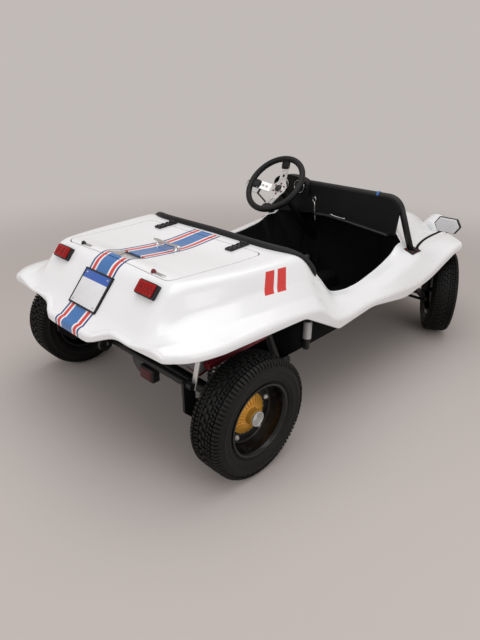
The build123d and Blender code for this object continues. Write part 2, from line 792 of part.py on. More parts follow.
# Rear crossbar on two stays and on brackets behind the arms, fog lamp under it and tow eye
BAR_X = -1240
BAR_Z = 460
BAR_RADIUS = 17
BAR_HALF = 600
STAY_Y = 200
with BuildPart() as rear_crossbar:
    with Locations(Location((BAR_X, 0, BAR_Z), (90, 0, 0))):
        Cylinder(BAR_RADIUS, 2 * BAR_HALF)
    for side in (1, -1):
        with Locations(((BAR_X + ENGINE_REAR) / 2, side * STAY_Y, BAR_Z)):
            Box(ENGINE_REAR - BAR_X, 30, 24)
        with BuildSketch(Plane.XZ.offset(-side * arm_y)):
            with BuildLine():
                Polyline(
                    (REAR_X - 60 - GAP, AXLE_Z - 50),
                    (REAR_X - 60 - GAP, AXLE_Z + 50),
                    (BAR_X + 45, AXLE_Z + 70),
                    (BAR_X + 35, BAR_Z + 15),
                    (BAR_X - 25, BAR_Z + 15),
                    (BAR_X - 20, AXLE_Z + 30),
                    (BAR_X + 60, AXLE_Z - 50),
                    close=True,
                )
            make_face()
        extrude(amount=ARM_THICK / 2, both=True)
save(rear_crossbar.part, "rear_crossbar")

FOG_Y = -300
with BuildPart() as fog_lamp:
    with Locations((BAR_X - 6, FOG_Y, BAR_Z - BAR_RADIUS - GAP - 35)):
        Box(46, 100, 70)
save(fog_lamp.part, "fog_lamp")

TOW_RADIUS = 16
TOW_OUTER = 34
TOW_THICK = 18
with BuildPart() as rear_tow_eye:
    with BuildSketch(Plane.XZ.offset(-TOW_THICK / 2)):
        with Locations((BAR_X - BAR_RADIUS - GAP - TOW_OUTER, BAR_Z)):
            Circle(TOW_OUTER)
        with Locations((BAR_X - BAR_RADIUS - GAP - TOW_OUTER / 2, BAR_Z)):
            Rectangle(TOW_OUTER, 40)
        with Locations((BAR_X - BAR_RADIUS - GAP - TOW_OUTER, BAR_Z)):
            Circle(TOW_RADIUS, mode=Mode.SUBTRACT)
    extrude(amount=TOW_THICK)
save(rear_tow_eye.part, "rear_tow_eye")

# Front axle: twin tube beam, arms with eyes, knuckles, tie rod and shocks
BEAM_X = 1135
BEAM_RADIUS = 28
BEAM_HALF = 440
KINGPIN_Y = 562
KINGPIN_RADIUS = 18
EYE_LOW = 222
EYE_HIGH = 358
EYE_THICK = 22
with BuildPart() as front_beam:
    for z in (EYE_LOW, EYE_HIGH):
        with Locations(Location((BEAM_X, 0, z), (90, 0, 0))):
            Cylinder(BEAM_RADIUS, 2 * BEAM_HALF)
    for y in (200, -200, BEAM_HALF - 15, 15 - BEAM_HALF):
        with Locations((BEAM_X, y, (EYE_LOW + EYE_HIGH) / 2)):
            Box(40, 14, EYE_HIGH - EYE_LOW)
    for side in (1, -1):
        with Locations(((BEAM_X + WELL_END + GAP) / 2, side * 200, FLOOR_Z + 45)):
            Box(BEAM_X - WELL_END - GAP, 50, 46)
        with Locations((BEAM_X, side * (BEAM_HALF - 15), EYE_HIGH + 90)):
            Box(40, 14, 150)
save(front_beam.part, "front_beam")

with BuildPart() as front_arms:
    for side in (1, -1):
        for z in (EYE_LOW, EYE_HIGH):
            with BuildSketch(Plane.XY.offset(z - EYE_THICK / 2)):
                with BuildLine():
                    Polyline(
                        (BEAM_X - 22, side * (BEAM_HALF + GAP)),
                        (BEAM_X + 22, side * (BEAM_HALF + GAP)),
                        (BEAM_X + 22, side * (BEAM_HALF + 20)),
                        (FRONT_X + 16, side * (KINGPIN_Y + 12)),
                        (FRONT_X - 16, side * (KINGPIN_Y - 12)),
                        close=True,
                    )
                make_face()
                with Locations((FRONT_X, side * KINGPIN_Y)):
                    Circle(20)
            extrude(amount=EYE_THICK)
save(front_arms.part, "front_arms")

STEER_ARM = 110
STEER_ARM_Z = 262
STEER_ARM_THICK = 14


def knuckle(side):
    # Built straight ahead, then turned about its kingpin
    barrel_low = EYE_LOW + EYE_THICK / 2 + GAP
    barrel_high = EYE_HIGH - EYE_THICK / 2 - GAP
    reach = TRACK_FRONT / 2 + 10 - KINGPIN_Y
    with BuildPart() as piece:
        with Locations((0, 0, (barrel_low + barrel_high) / 2)):
            Cylinder(KINGPIN_RADIUS, barrel_high - barrel_low)
        with Locations(Location((0, side * reach / 2, AXLE_Z), (90, 0, 0))):
            Cylinder(STUB_RADIUS, reach)
        with BuildSketch(Plane.XY.offset(STEER_ARM_Z)):
            with Locations((-STEER_ARM / 2, -side * 6)):
                Rectangle(STEER_ARM, 22)
            with Locations((-STEER_ARM, -side * 6)):
                Circle(17)
        extrude(amount=STEER_ARM_THICK)
    return Pos(FRONT_X, side * KINGPIN_Y, 0) * Rot(0, 0, STEER) * piece.part


knuckle_left = knuckle(1)
knuckle_right = knuckle(-1)
save(knuckle_left, "knuckle_left")
save(knuckle_right, "knuckle_right")

ROD_RADIUS = 10
ROD_PAD = 6
rod_z = STEER_ARM_Z - GAP - ROD_PAD - ROD_RADIUS
turned_left = Pos(FRONT_X, KINGPIN_Y, 0) * Rot(0, 0, STEER) * Pos(-STEER_ARM, -6, rod_z)
turned_right = Pos(FRONT_X, -KINGPIN_Y, 0) * Rot(0, 0, STEER) * Pos(-STEER_ARM, 6, rod_z)
rod_left = turned_left.position
rod_right = turned_right.position
with BuildPart() as tie_rod:
    with BuildSketch(Plane(rod_left, z_dir=rod_right - rod_left)):
        Circle(ROD_RADIUS)
    extrude(amount=(rod_right - rod_left).length)
    for end in (rod_left, rod_right):
        with Locations((end.X, end.Y, rod_z + (ROD_RADIUS + ROD_PAD) / 2)):
            Cylinder(16, ROD_RADIUS + ROD_PAD)
save(tie_rod.part, "tie_rod")

with BuildPart() as front_shocks:
    for side in (1, -1):
        low = Vector(BEAM_X - 40, side * (BEAM_HALF + 40), EYE_HIGH + EYE_THICK / 2 - 10)
        high = Vector(BEAM_X, side * (BEAM_HALF + 5), EYE_HIGH + 150)
        with BuildSketch(Plane(low, z_dir=high - low)):
            Circle(12)
        extrude(amount=(high - low).length)
    add(front_arms.part, mode=Mode.SUBTRACT)
    add(front_beam.part, mode=Mode.SUBTRACT)
save(front_shocks.part, "front_shocks")

# Front bumper with a tow eye
BUMPER_X = 1445
BUMPER_Z = 395
BUMPER_RADIUS = 20
BUMPER_STAY = 24
with BuildPart() as front_bumper:
    with BuildLine(Plane.XY.offset(BUMPER_Z)) as bumper_line:
        FilletPolyline((1250, -390), (BUMPER_X, -330), (BUMPER_X, 330), (1250, 390), radius=80)
    with BuildSketch(Plane(bumper_line.line @ 0, z_dir=bumper_line.line % 0)):
        Circle(BUMPER_RADIUS)
    sweep()
    for side in (1, -1):
        with Locations(((BUMPER_X + BEAM_X + BEAM_RADIUS) / 2, side * 120, BUMPER_Z - BUMPER_STAY / 2)):
            Box(BUMPER_X - BEAM_X - BEAM_RADIUS + 40, BUMPER_STAY, BUMPER_STAY)
    add(front_beam.part, mode=Mode.SUBTRACT)
save(front_bumper.part, "front_bumper")

with BuildPart() as front_tow_eye:
    with BuildSketch(Plane.XZ.offset(-TOW_THICK / 2)):
        with Locations((BUMPER_X, BUMPER_Z - BUMPER_RADIUS - GAP - TOW_OUTER)):
            Circle(TOW_OUTER)
        with Locations((BUMPER_X, BUMPER_Z - BUMPER_RADIUS - GAP - TOW_OUTER / 2)):
            Rectangle(40, TOW_OUTER)
        with Locations((BUMPER_X, BUMPER_Z - BUMPER_RADIUS - GAP - TOW_OUTER)):
            Circle(TOW_RADIUS, mode=Mode.SUBTRACT)
    extrude(amount=TOW_THICK)
save(front_tow_eye.part, "front_tow_eye")

# Wheels: tyre, deep steel rim and brake drum, built upright and then placed at each corner
RIM_SEAT = 166
RIM_FLANGE = 178
RIM_SHEET = 6
RIM_DISC = -14
DISC_HOLE = 100
DRUM_RADIUS = 112
NOSE_RADIUS = 36
NOSE_BORE = 28
Corner = namedtuple("Corner", "name side width depth place")
steer_left = Pos(FRONT_X, KINGPIN_Y, 0) * Rot(0, 0, STEER) * Pos(0, TRACK_FRONT / 2 - KINGPIN_Y, AXLE_Z)
steer_right = Pos(FRONT_X, -KINGPIN_Y, 0) * Rot(0, 0, STEER) * Pos(0, KINGPIN_Y - TRACK_FRONT / 2, AXLE_Z)
CORNERS = [
    Corner("front_left", 1, TYRE_WIDTH_FRONT, DRUM_DEPTH_FRONT, steer_left),
    Corner("front_right", -1, TYRE_WIDTH_FRONT, DRUM_DEPTH_FRONT, steer_right),
    Corner("rear_left", 1, TYRE_WIDTH_REAR, DRUM_DEPTH_REAR, Pos(REAR_X, TRACK_REAR / 2, AXLE_Z)),
    Corner("rear_right", -1, TYRE_WIDTH_REAR, DRUM_DEPTH_REAR, Pos(REAR_X, -TRACK_REAR / 2, AXLE_Z)),
]
for corner in CORNERS:
    half = corner.width / 2
    seat_half = half - 14
    with BuildPart() as tyre:
        with BuildSketch(Plane.YZ):
            with BuildLine():
                rounded(
                    [
                        (-seat_half + RIM_SHEET, RIM_SEAT + GAP, 0),
                        (-seat_half + RIM_SHEET, RIM_FLANGE + 12, 6),
                        (-half, 235, 60),
                        (-half + 10, TYRE_RADIUS, 16),
                        (half - 10, TYRE_RADIUS, 16),
                        (half, 235, 60),
                        (seat_half - RIM_SHEET, RIM_FLANGE + 12, 6),
                        (seat_half - RIM_SHEET, RIM_SEAT + GAP, 0),
                        (seat_half - 30, RIM_SEAT + GAP, 8),
                        (half - 22, 250, 30),
                        (22 - half, 250, 30),
                        (30 - seat_half, RIM_SEAT + GAP, 8),
                    ]
                )
            make_face()
        revolve(axis=Axis.Y)
    save(corner.place * tyre.part, "tyre_" + corner.name)
    with BuildPart() as rim:
        with BuildSketch(Plane.YZ):
            with BuildLine():
                Polyline(
                    (-seat_half, RIM_SEAT),
                    (-seat_half, RIM_FLANGE),
                    (RIM_SHEET - seat_half - GAP, RIM_FLANGE),
                    (RIM_SHEET - seat_half - GAP, RIM_SEAT),
                    (seat_half - RIM_SHEET + GAP, RIM_SEAT),
                    (seat_half - RIM_SHEET + GAP, RIM_FLANGE),
                    (seat_half, RIM_FLANGE),
                    (seat_half, RIM_SEAT),
                    (seat_half - 20, RIM_SEAT - 8),
                    (25, RIM_SEAT - 10),
                    (RIM_DISC + RIM_SHEET, RIM_SEAT - 24),
                    (RIM_DISC + RIM_SHEET, DISC_HOLE),
                    (RIM_DISC, DISC_HOLE),
                    (RIM_DISC, RIM_SEAT - 18),
                    (RIM_DISC - 12, RIM_SEAT - 10),
                    (20 - seat_half, RIM_SEAT - 8),
                    close=True,
                )
            make_face()
        revolve(axis=Axis.Y)
        if corner.side < 0:
            mirror(about=Plane.XZ, mode=Mode.REPLACE)
    save(corner.place * rim.part, "rim_" + corner.name)
    with BuildPart() as drum:
        with BuildSketch(Plane.YZ):
            with BuildLine():
                Polyline(
                    (-corner.depth, STUB_RADIUS + RUN_GAP),
                    (-corner.depth, DRUM_RADIUS),
                    (RIM_DISC - 4, DRUM_RADIUS),
                    (RIM_DISC - GAP, DRUM_RADIUS - 4),
                    (RIM_DISC - GAP, DISC_HOLE - GAP),
                    (14, 46),
                    (14, NOSE_RADIUS + 2),
                    (HUB_NOSE, NOSE_RADIUS),
                    (HUB_NOSE, NOSE_BORE),
                    (20, NOSE_BORE),
                    (20, STUB_RADIUS + RUN_GAP),
                    close=True,
                )
            make_face()
        revolve(axis=Axis.Y)
        if corner.side < 0:
            mirror(about=Plane.XZ, mode=Mode.REPLACE)
    save(corner.place * drum.part, "drum_" + corner.name)
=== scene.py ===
# Dune buggy: a white fibreglass body on a steel floor pan, with an open cockpit and a rear engine
import json
import math

import bmesh
import bpy
import numpy as np
from mathutils import Matrix, Vector


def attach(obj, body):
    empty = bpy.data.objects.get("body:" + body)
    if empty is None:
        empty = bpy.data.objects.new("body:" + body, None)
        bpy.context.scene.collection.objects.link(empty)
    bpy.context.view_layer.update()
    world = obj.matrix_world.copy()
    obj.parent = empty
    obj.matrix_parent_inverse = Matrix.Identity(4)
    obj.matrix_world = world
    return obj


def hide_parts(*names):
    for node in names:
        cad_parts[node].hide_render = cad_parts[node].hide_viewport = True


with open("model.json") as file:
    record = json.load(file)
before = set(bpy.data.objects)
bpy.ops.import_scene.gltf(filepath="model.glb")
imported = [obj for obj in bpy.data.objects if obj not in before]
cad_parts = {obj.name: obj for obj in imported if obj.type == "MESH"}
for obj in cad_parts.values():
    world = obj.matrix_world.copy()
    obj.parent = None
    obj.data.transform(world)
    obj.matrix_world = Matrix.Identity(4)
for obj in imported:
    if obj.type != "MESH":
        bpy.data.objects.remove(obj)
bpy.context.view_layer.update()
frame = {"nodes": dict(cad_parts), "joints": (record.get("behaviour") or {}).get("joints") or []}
nodes = frame["nodes"]


# Floor pan: a pressed steel tub with a stiff backbone down its middle, painted black, with
# a grainy stone-guard coat. The body is bolted down on its edge.
class Field:
    # One output in a finish's node tree; arithmetic on it adds Math nodes
    def __init__(self, finish, socket):
        self.finish = finish
        self.socket = socket

    def __add__(self, other):
        return self.finish.math("ADD", self, other)

    def __radd__(self, other):
        return self.finish.math("ADD", other, self)

    def __sub__(self, other):
        return self.finish.math("SUBTRACT", self, other)

    def __rsub__(self, other):
        return self.finish.math("SUBTRACT", other, self)

    def __mul__(self, other):
        return self.finish.math("MULTIPLY", self, other)

    def __rmul__(self, other):
        return self.finish.math("MULTIPLY", other, self)

    def __abs__(self):
        return self.finish.math("ABSOLUTE", self)


class Finish:
    # A material: numbers stay on the shader's sockets, and what varies over the piece is linked
    def __init__(self, name, constants):
        self.material = bpy.data.materials.new(name)
        self.material.use_nodes = True
        self.tree = self.material.node_tree
        self.shader = self.tree.nodes["Principled BSDF"]
        for socket, value in constants.items():
            self.set(socket, value)

    def set(self, socket, value):
        self.feed(self.shader.inputs[socket], value)

    def feed(self, socket, value):
        if isinstance(value, Field):
            self.tree.links.new(value.socket, socket)
        elif socket.type == "RGBA":
            socket.default_value = (*value[:3], 1)
        else:
            socket.default_value = value

    def node(self, kind, settings, sockets, output=0):
        node = self.tree.nodes.new("ShaderNode" + kind)
        for key, value in settings.items():
            setattr(node, key, value)
        for key, value in sockets.items():
            self.feed(node.inputs[key], value)
        return Field(self, node.outputs[output])

    def math(self, operation, *values):
        return self.node("Math", {"operation": operation}, dict(enumerate(values)))

    def place(self):
        return self.node("TexCoord", {}, {}, "Object")

    def axis(self, letter):
        return self.node("SeparateXYZ", {}, {0: self.place()}, letter)

    def noise(self, scale, detail=2.0):
        return self.node("TexNoise", {}, {"Vector": self.place(), "Scale": scale, "Detail": detail})

    def cells(self, scale, feature="F1"):
        return self.node("TexVoronoi", {"feature": feature}, {"Vector": self.place(), "Scale": scale})

    def mix(self, factor, first, second):
        return self.node("Mix", {"data_type": "RGBA"}, {0: factor, 6: first, 7: second}, 2)

    def ramp(self, value, low, high):
        return self.node("MapRange", {"interpolation_type": "SMOOTHSTEP"}, {0: value, 1: low, 2: high})

    def band(self, value, low, high, soft):
        return self.ramp(value, low - soft, low + soft) * (1 - self.ramp(value, high - soft, high + soft))

    def bump(self, height, strength, depth):
        sockets = {"Height": height, "Strength": strength, "Distance": depth}
        self.set("Normal", self.node("Bump", {}, sockets))


def coated(name, color, roughness, metallic=0.0, grain=260, depth=0.0006, fade=0.25, shine=0.5):
    # Paint or bare metal with a cloudy tint and a fine grain
    finish = Finish(name, {"Metallic": metallic, "Specular IOR Level": shine})
    cloud = finish.noise(5, 5)
    fine = finish.noise(grain, 3)
    pale = [part * 1.15 + 0.004 for part in color]
    deep = [part * (1 - fade) for part in color]
    finish.set("Base Color", finish.mix(cloud, deep, pale))
    finish.set("Roughness", cloud * 0.16 + fine * 0.12 + (roughness - 0.14))
    finish.bump(fine, 0.3, depth)
    return finish


def dress(finish, *names):
    # A finish on carried-over nodes
    for name in names:
        for slot in nodes[name].material_slots:
            slot.material = finish.material


stone_guard = coated("stone_guard", (0.003, 0.003, 0.0033), 0.75, grain=420, depth=0.0015, shine=0.15)
dress(stone_guard, "floor_tunnel")


# Power train: a cast light-alloy engine block on its gearbox, gone dull and oily, with a black
# silencer across its rear. The block is bolted to the gearbox under the engine lid.
cast_alloy = coated("cast_alloy", (0.085, 0.085, 0.09), 0.55, metallic=0.5, grain=150, depth=0.002, fade=0.5)
heat_black = coated("heat_black", (0.008, 0.008, 0.008), 0.6, grain=300, depth=0.001, shine=0.3)
dress(cast_alloy, "engine", "gearbox")
dress(heat_black, "exhaust")

# Rear frame: a torsion tube across the back of the floor pan, trailing arms and two rails, welded
# steel tube and plate. The rails are painted dark red, the rest black.
RAIL_START = -0.74
RAIL_FOOT = (0.42, 0.43)
RAIL_SOFT = 0.004
FRAME_BLACK = (0.006, 0.006, 0.0065)
frame_red = coated("frame_red", (0.28, 0.0196, 0.0252), 0.42, shine=0.35)
forward = frame_red.axis("X")
cloud = frame_red.noise(9, 5)
red_paint = frame_red.mix(cloud, (0.14, 0.004, 0.010), (0.22, 0.007, 0.016))
rail_height = frame_red.ramp(frame_red.axis("Z"), *RAIL_FOOT)
rail_part = rail_height * (1 - frame_red.ramp(forward, RAIL_START - RAIL_SOFT, RAIL_START + RAIL_SOFT))
frame_red.set("Base Color", frame_red.mix(rail_part, FRAME_BLACK, red_paint))
chassis_black = coated("chassis_black", FRAME_BLACK, 0.42, grain=320, depth=0.0007, shine=0.35)
bright_alloy = coated(
    "bright_alloy", (0.74, 0.74, 0.73), 0.34, metallic=0.75, grain=500, depth=0.0003, fade=0.2
)
dress(frame_red, "rear_frame")
dress(chassis_black, "rear_axle", "rear_crossbar", "rear_tow_eye")
dress(bright_alloy, "rear_shocks")

# Front axle: a beam of two steel tubes with trailing arms, forged knuckles and a tie rod, all
# painted black, with a tubular bumper and tow eye ahead of it.
dress(chassis_black, "front_beam", "front_arms", "knuckle_left", "knuckle_right", "tie_rod")
dress(chassis_black, "front_shocks", "front_bumper", "front_tow_eye")


# Tyres: all-terrain rubber on steel rims, a moulded carcass with a block tread that wraps over
# the shoulders. Every block is a lug of the same mould, repeated round the wheel.
def new_object(name, mesh, *finishes):
    piece = bpy.data.objects.new(name, mesh)
    bpy.context.scene.collection.objects.link(piece)
    for finish in finishes:
        mesh.materials.append(finish.material)
    return piece


def mesh_of(name, points, faces, smooth=True):
    mesh = bpy.data.meshes.new(name)
    mesh.from_pydata([tuple(point) for point in points], [], faces)
    mesh.polygons.foreach_set("use_smooth", [smooth] * len(faces))
    return mesh


def settle(piece):
    # The piece's modifiers become its mesh
    graph = bpy.context.evaluated_depsgraph_get()
    mesh = bpy.data.meshes.new_from_object(piece.evaluated_get(graph))
    piece.modifiers.clear()
    piece.data = mesh
    return piece


def crease(mesh, degrees):
    mesh.polygons.foreach_set("use_smooth", [True] * len(mesh.polygons))
    mesh.set_sharp_from_angle(angle=math.radians(degrees))


def grid_faces(rows, columns, wrap_rows=False, wrap_columns=False):
    faces = []
    for row in range(rows if wrap_rows else rows - 1):
        for column in range(columns if wrap_columns else columns - 1):
            after = (row + 1) % rows
            beside = (column + 1) % columns
            faces.append(
                (
                    row * columns + column,
                    row * columns + beside,
                    after * columns + beside,
                    after * columns + column,
                )
            )
    return faces


def run_length(path):
    # How far along a path each of its points lies
    return np.concatenate([[0], np.cumsum(np.linalg.norm(np.diff(path, axis=0), axis=1))])


def axes(first, second, third):
    # The turn that carries X, Y and Z to three directions
    return Matrix((first, second, third)).transposed().to_4x4()


RUN_SHARE = 0.47


def rounded_path(corners, steps=6):
    # Points along straight runs whose corners, each given as across, up and radius, are blended
    points = [np.array(corner[:2], float) for corner in corners]
    path = [points[0]]
    for index in range(1, len(corners) - 1):
        here = points[index]
        back = points[index - 1] - here
        ahead = points[index + 1] - here
        lengths = np.linalg.norm(back), np.linalg.norm(ahead)
        cosine = np.clip(back @ ahead / (lengths[0] * lengths[1]), -1, 1)
        reach = corners[index][2] / max(math.tan(math.acos(cosine) / 2), 1e-4)
        reach = min(reach, RUN_SHARE * lengths[0], RUN_SHARE * lengths[1])
        start = here + back / lengths[0] * reach
        end = here + ahead / lengths[1] * reach
        for step in np.linspace(0, 1, steps):
            path.append((1 - step) ** 2 * start + 2 * step * (1 - step) * here + step**2 * end)
    path.append(points[-1])
    return np.array(path)


def spun(name, profile, segments=96, closed=False):
    # A profile of (along the axle, radius) points turned round the Y axis
    turns = np.linspace(0, 2 * math.pi, segments, endpoint=False)
    along, radius = np.array(profile, float).T
    points = np.stack(
        [
            np.outer(np.sin(turns), radius),
            np.tile(along, (segments, 1)),
            np.outer(np.cos(turns), radius),
        ],
        axis=-1,
    ).reshape(-1, 3)
    return mesh_of(name, points, grid_faces(segments, len(profile), wrap_rows=True, wrap_columns=closed))


def outward(mesh):
    # Merged doubles and faces that point out
    body = bmesh.new()
    body.from_mesh(mesh)
    bmesh.ops.remove_doubles(body, verts=body.verts, dist=1e-6)
    bmesh.ops.recalc_face_normals(body, faces=body.faces)
    body.to_mesh(mesh)
    body.free()
    return mesh


def copies_tree(name, inputs, kinds, links):
    # A tree from its inputs, its nodes with their settings, and the links between their sockets
    tree = bpy.data.node_groups.new(name, "GeometryNodeTree")
    for label, kind in inputs:
        tree.interface.new_socket(label, in_out="INPUT", socket_type="NodeSocket" + kind)
    tree.interface.new_socket("Geometry", in_out="OUTPUT", socket_type="NodeSocketGeometry")
    made = {}
    for key, kind, settings, sockets in kinds:
        made[key] = tree.nodes.new(kind)
        for setting, value in settings.items():
            setattr(made[key], setting, value)
        for socket, value in sockets.items():
            made[key].inputs[socket].default_value = value
    for source, out, target, into in links:
        tree.links.new(made[source].outputs[out], made[target].inputs[into])
    return tree


# Copies of the incoming mesh turned round the Y axis
RING = copies_tree(
    "ring_of_copies",
    (("Geometry", "Geometry"), ("Copies", "Int"), ("Finish", "Material")),
    (
        ("given", "NodeGroupInput", {}, {}),
        ("points", "GeometryNodePoints", {}, {}),
        ("index", "GeometryNodeInputIndex", {}, {}),
        ("step", "ShaderNodeMath", {"operation": "DIVIDE"}, {0: 2 * math.pi}),
        ("turn", "ShaderNodeMath", {"operation": "MULTIPLY"}, {}),
        ("angle", "ShaderNodeCombineXYZ", {}, {}),
        ("copies", "GeometryNodeInstanceOnPoints", {}, {}),
        ("real", "GeometryNodeRealizeInstances", {}, {}),
        ("paint", "GeometryNodeSetMaterial", {}, {}),
        ("result", "NodeGroupOutput", {}, {}),
    ),
    (
        ("given", "Copies", "points", "Count"), ("given", "Copies", "step", 1),
        ("index", 0, "turn", 0), ("step", 0, "turn", 1), ("turn", 0, "angle", "Y"),
        ("points", 0, "copies", "Points"), ("given", "Geometry", "copies", "Instance"),
        ("angle", 0, "copies", "Rotation"), ("copies", 0, "real", 0), ("real", 0, "paint", "Geometry"),
        ("given", "Finish", "paint", "Material"), ("paint", 0, "result", 0),
    ),
)


def set_input(modifier, label, value):
    for item in modifier.node_group.interface.items_tree:
        if item.in_out == "INPUT" and item.name == label:
            modifier[item.identifier] = value


def ring(name, mesh, copies, finish):
    piece = new_object(name, mesh)
    modifier = piece.modifiers.new("ring", "NODES")
    modifier.node_group = RING
    set_input(modifier, "Copies", copies)
    set_input(modifier, "Finish", finish.material)
    return settle(piece)


def joined(name, pieces):
    # Several objects as one, each already in its place
    with bpy.context.temp_override(active_object=pieces[0], selected_editable_objects=pieces):
        bpy.ops.object.join()
    pieces[0].name = name
    pieces[0].data.name = name
    return pieces[0]


rubber = Finish("tyre_rubber", {"Specular IOR Level": 0.25})
scuff = rubber.noise(14, 5)
pores = rubber.noise(700, 2)
rubber.set("Base Color", rubber.mix(scuff, (0.0033, 0.0033, 0.0033), (0.00935, 0.009075, 0.0088)))
rubber.set("Roughness", scuff * 0.18 + 0.5)
rubber.bump(pores, 0.35, 0.0004)

TYRE_RADIUS = 0.290
TREAD_DEPTH = 0.009
BEAD_RADIUS = 0.1664
PITCHES = 46
PITCH = 2 * math.pi * TYRE_RADIUS / PITCHES
WEAR = 0.0012
LUGS = [
    # run across the tread from, to, and round it at the four corners, in shares of half width and pitch
    (0.02, 0.20, 0.04, 0.16, 0.78, 0.66),
    (0.26, 0.40, -0.10, 0.02, 0.34, 0.26),
    (0.26, 0.40, 0.34, 0.42, 0.80, 0.70),
    (0.42, 0.56, 0.06, 0.16, 0.46, 0.38),
    (0.42, 0.56, 0.50, 0.58, 0.92, 0.84),
    (0.62, 1.06, 0.00, 0.04, 0.44, 0.40),
    (0.62, 1.14, 0.52, 0.56, 0.90, 0.90),
]
LUG_STEPS = 5
LUG_ROOT = 0.002
SLOPE_STEP = 0.002
TYRE_HALVES = {"front": 0.0825, "rear": 0.090}


def crown_line(half, radius):
    # The tread's outline from the middle out and round the shoulder, as points by length
    line = rounded_path(
        [
            (0, radius, 0),
            (half - 0.010, radius - 0.002, 0.022),
            (half, radius - 0.055, 0.06),
            (half - 0.008, 0.2, 0),
        ], 9
    )
    return line, run_length(line)


def tread_pitch(half):
    line, length = crown_line(half, TYRE_RADIUS)
    points = []
    faces = []
    for side in (1, -1):
        for start, end, near_low, far_low, far_high, near_high in LUGS:
            base = len(points)
            for level, shrink in ((0, 0), (-TREAD_DEPTH - LUG_ROOT, WEAR)):
                for step in np.linspace(0, 1, LUG_STEPS):
                    across = (start + (end - start) * step) * half + (WEAR - shrink) * (1 - 2 * step)
                    low = (near_low + (far_low - near_low) * step) * PITCH + WEAR - shrink
                    high = (near_high + (far_high - near_high) * step) * PITCH - WEAR + shrink
                    along = np.interp(across, length, line[:, 0])
                    radius = np.interp(across, length, line[:, 1])
                    beyond = np.interp(across + SLOPE_STEP, length, line[:, 0])
                    drop = np.interp(across + SLOPE_STEP, length, line[:, 1])
                    slope = math.atan2(radius - drop, beyond - along)
                    along += level * math.sin(slope)
                    radius += level * math.cos(slope)
                    for run in (low, high):
                        turn = (run + (PITCH / 2 if side < 0 else 0)) / TYRE_RADIUS
                        points.append((radius * math.sin(turn), side * along, radius * math.cos(turn)))
            skirt = 2 * LUG_STEPS
            for step in range(LUG_STEPS - 1):
                a = base + 2 * step
                faces.append((a, a + 1, a + 3, a + 2))
                faces.append((a, a + 2, a + skirt + 2, a + skirt))
                faces.append((a + 1, a + skirt + 1, a + skirt + 3, a + 3))
            faces.append((base, base + skirt, base + skirt + 1, base + 1))
            last = base + skirt - 2
            faces.append((last, last + 1, last + skirt + 1, last + skirt))
    return outward(mesh_of("tread_pitch", points, faces, smooth=False))


def carcass(half):
    # Bead, sidewall with two raised bands, shoulder and the floor of the tread
    outside = [
        (half - 0.052, BEAD_RADIUS, 0),
        (half - 0.022, BEAD_RADIUS, 0.004),
        (half - 0.022, 0.184, 0.004),
        (half - 0.012, 0.192, 0.006),
        (half - 0.006, 0.204, 0.003),
        (half - 0.0035, 0.206, 0.002),
        (half - 0.003, 0.212, 0.002),
        (half - 0.0045, 0.214, 0.003),
        (half - 0.002, 0.236, 0.01),
        (half + 0.0005, 0.238, 0.002),
        (half + 0.0005, 0.242, 0.002),
        (half - 0.003, 0.244, 0.004),
        (half - 0.012, TYRE_RADIUS - TREAD_DEPTH - 0.006, 0.02),
        (0, TYRE_RADIUS - TREAD_DEPTH, 0),
    ]
    half_line = rounded_path(outside, 5)
    other = half_line[::-1][1:] * (-1, 1)
    return outward(spun("carcass", np.concatenate([half_line, other]), 128))


hubs = {}
for joint in frame["joints"]:
    if joint["name"].startswith("spin_"):
        spot = Vector(joint["pos_m"])
        axle = Vector(joint["axis"])
        side = 1 if "left" in joint["name"] else -1
        facing = axle * side
        wheel_turn = axes((facing.y, -facing.x, 0), facing, (0, 0, 1))
        hubs[joint["child"]] = Matrix.Translation(spot) @ wheel_turn

for body, hub in hubs.items():
    corner = body.removeprefix("wheel_")
    half = TYRE_HALVES[corner.split("_")[0]]
    tread = ring("tread_" + corner, tread_pitch(half), PITCHES, rubber)
    tyre = joined(
        "tyre_" + corner + "_tread", [new_object("carcass_" + corner, carcass(half), rubber), tread]
    )
    crease(tyre.data, 35)
    tyre.data.transform(hub)
    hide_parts("tyre_" + corner)
    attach(tyre, body)

# Rims: deep-dish steel pressings with rolled flanges, gloss black, held by five plated bolts
# each round a large centre hole.
SEAT_INSET = 0.014
DISC_FACE = -0.008
BOLT_CIRCLE = 0.1215
BOLT_SIZE = 0.0085
BOLT_SINK = 0.0015
BOLTS = 5


def mesh_from(name, form):
    # A plain mesh from an edit mesh, which is given up
    mesh = bpy.data.meshes.new(name)
    form.to_mesh(mesh)
    form.free()
    return mesh


def merged(name, *meshes):
    form = bmesh.new()
    for mesh in meshes:
        form.from_mesh(mesh)
    return mesh_from(name, form)


def hex_bolt(size):
    # A washer, a six-sided head and the chamfer on its top, standing on the plane Y 0
    washer = [
        (-0.2 * size, 0),
        (-0.2 * size, 1.5 * size),
        (0.2 * size, 1.5 * size),
        (0.28 * size, 1.38 * size),
        (0.28 * size, 0),
    ]
    head = [
        (0.2 * size, 0),
        (0.2 * size, 1.1 * size),
        (0.9 * size, 1.1 * size),
        (1.1 * size, 0.85 * size),
        (1.1 * size, 0),
    ]
    bolt = merged("hex_bolt", outward(spun("washer", washer, 20)), outward(spun("head", head, 6)))
    crease(bolt, 25)
    return bolt


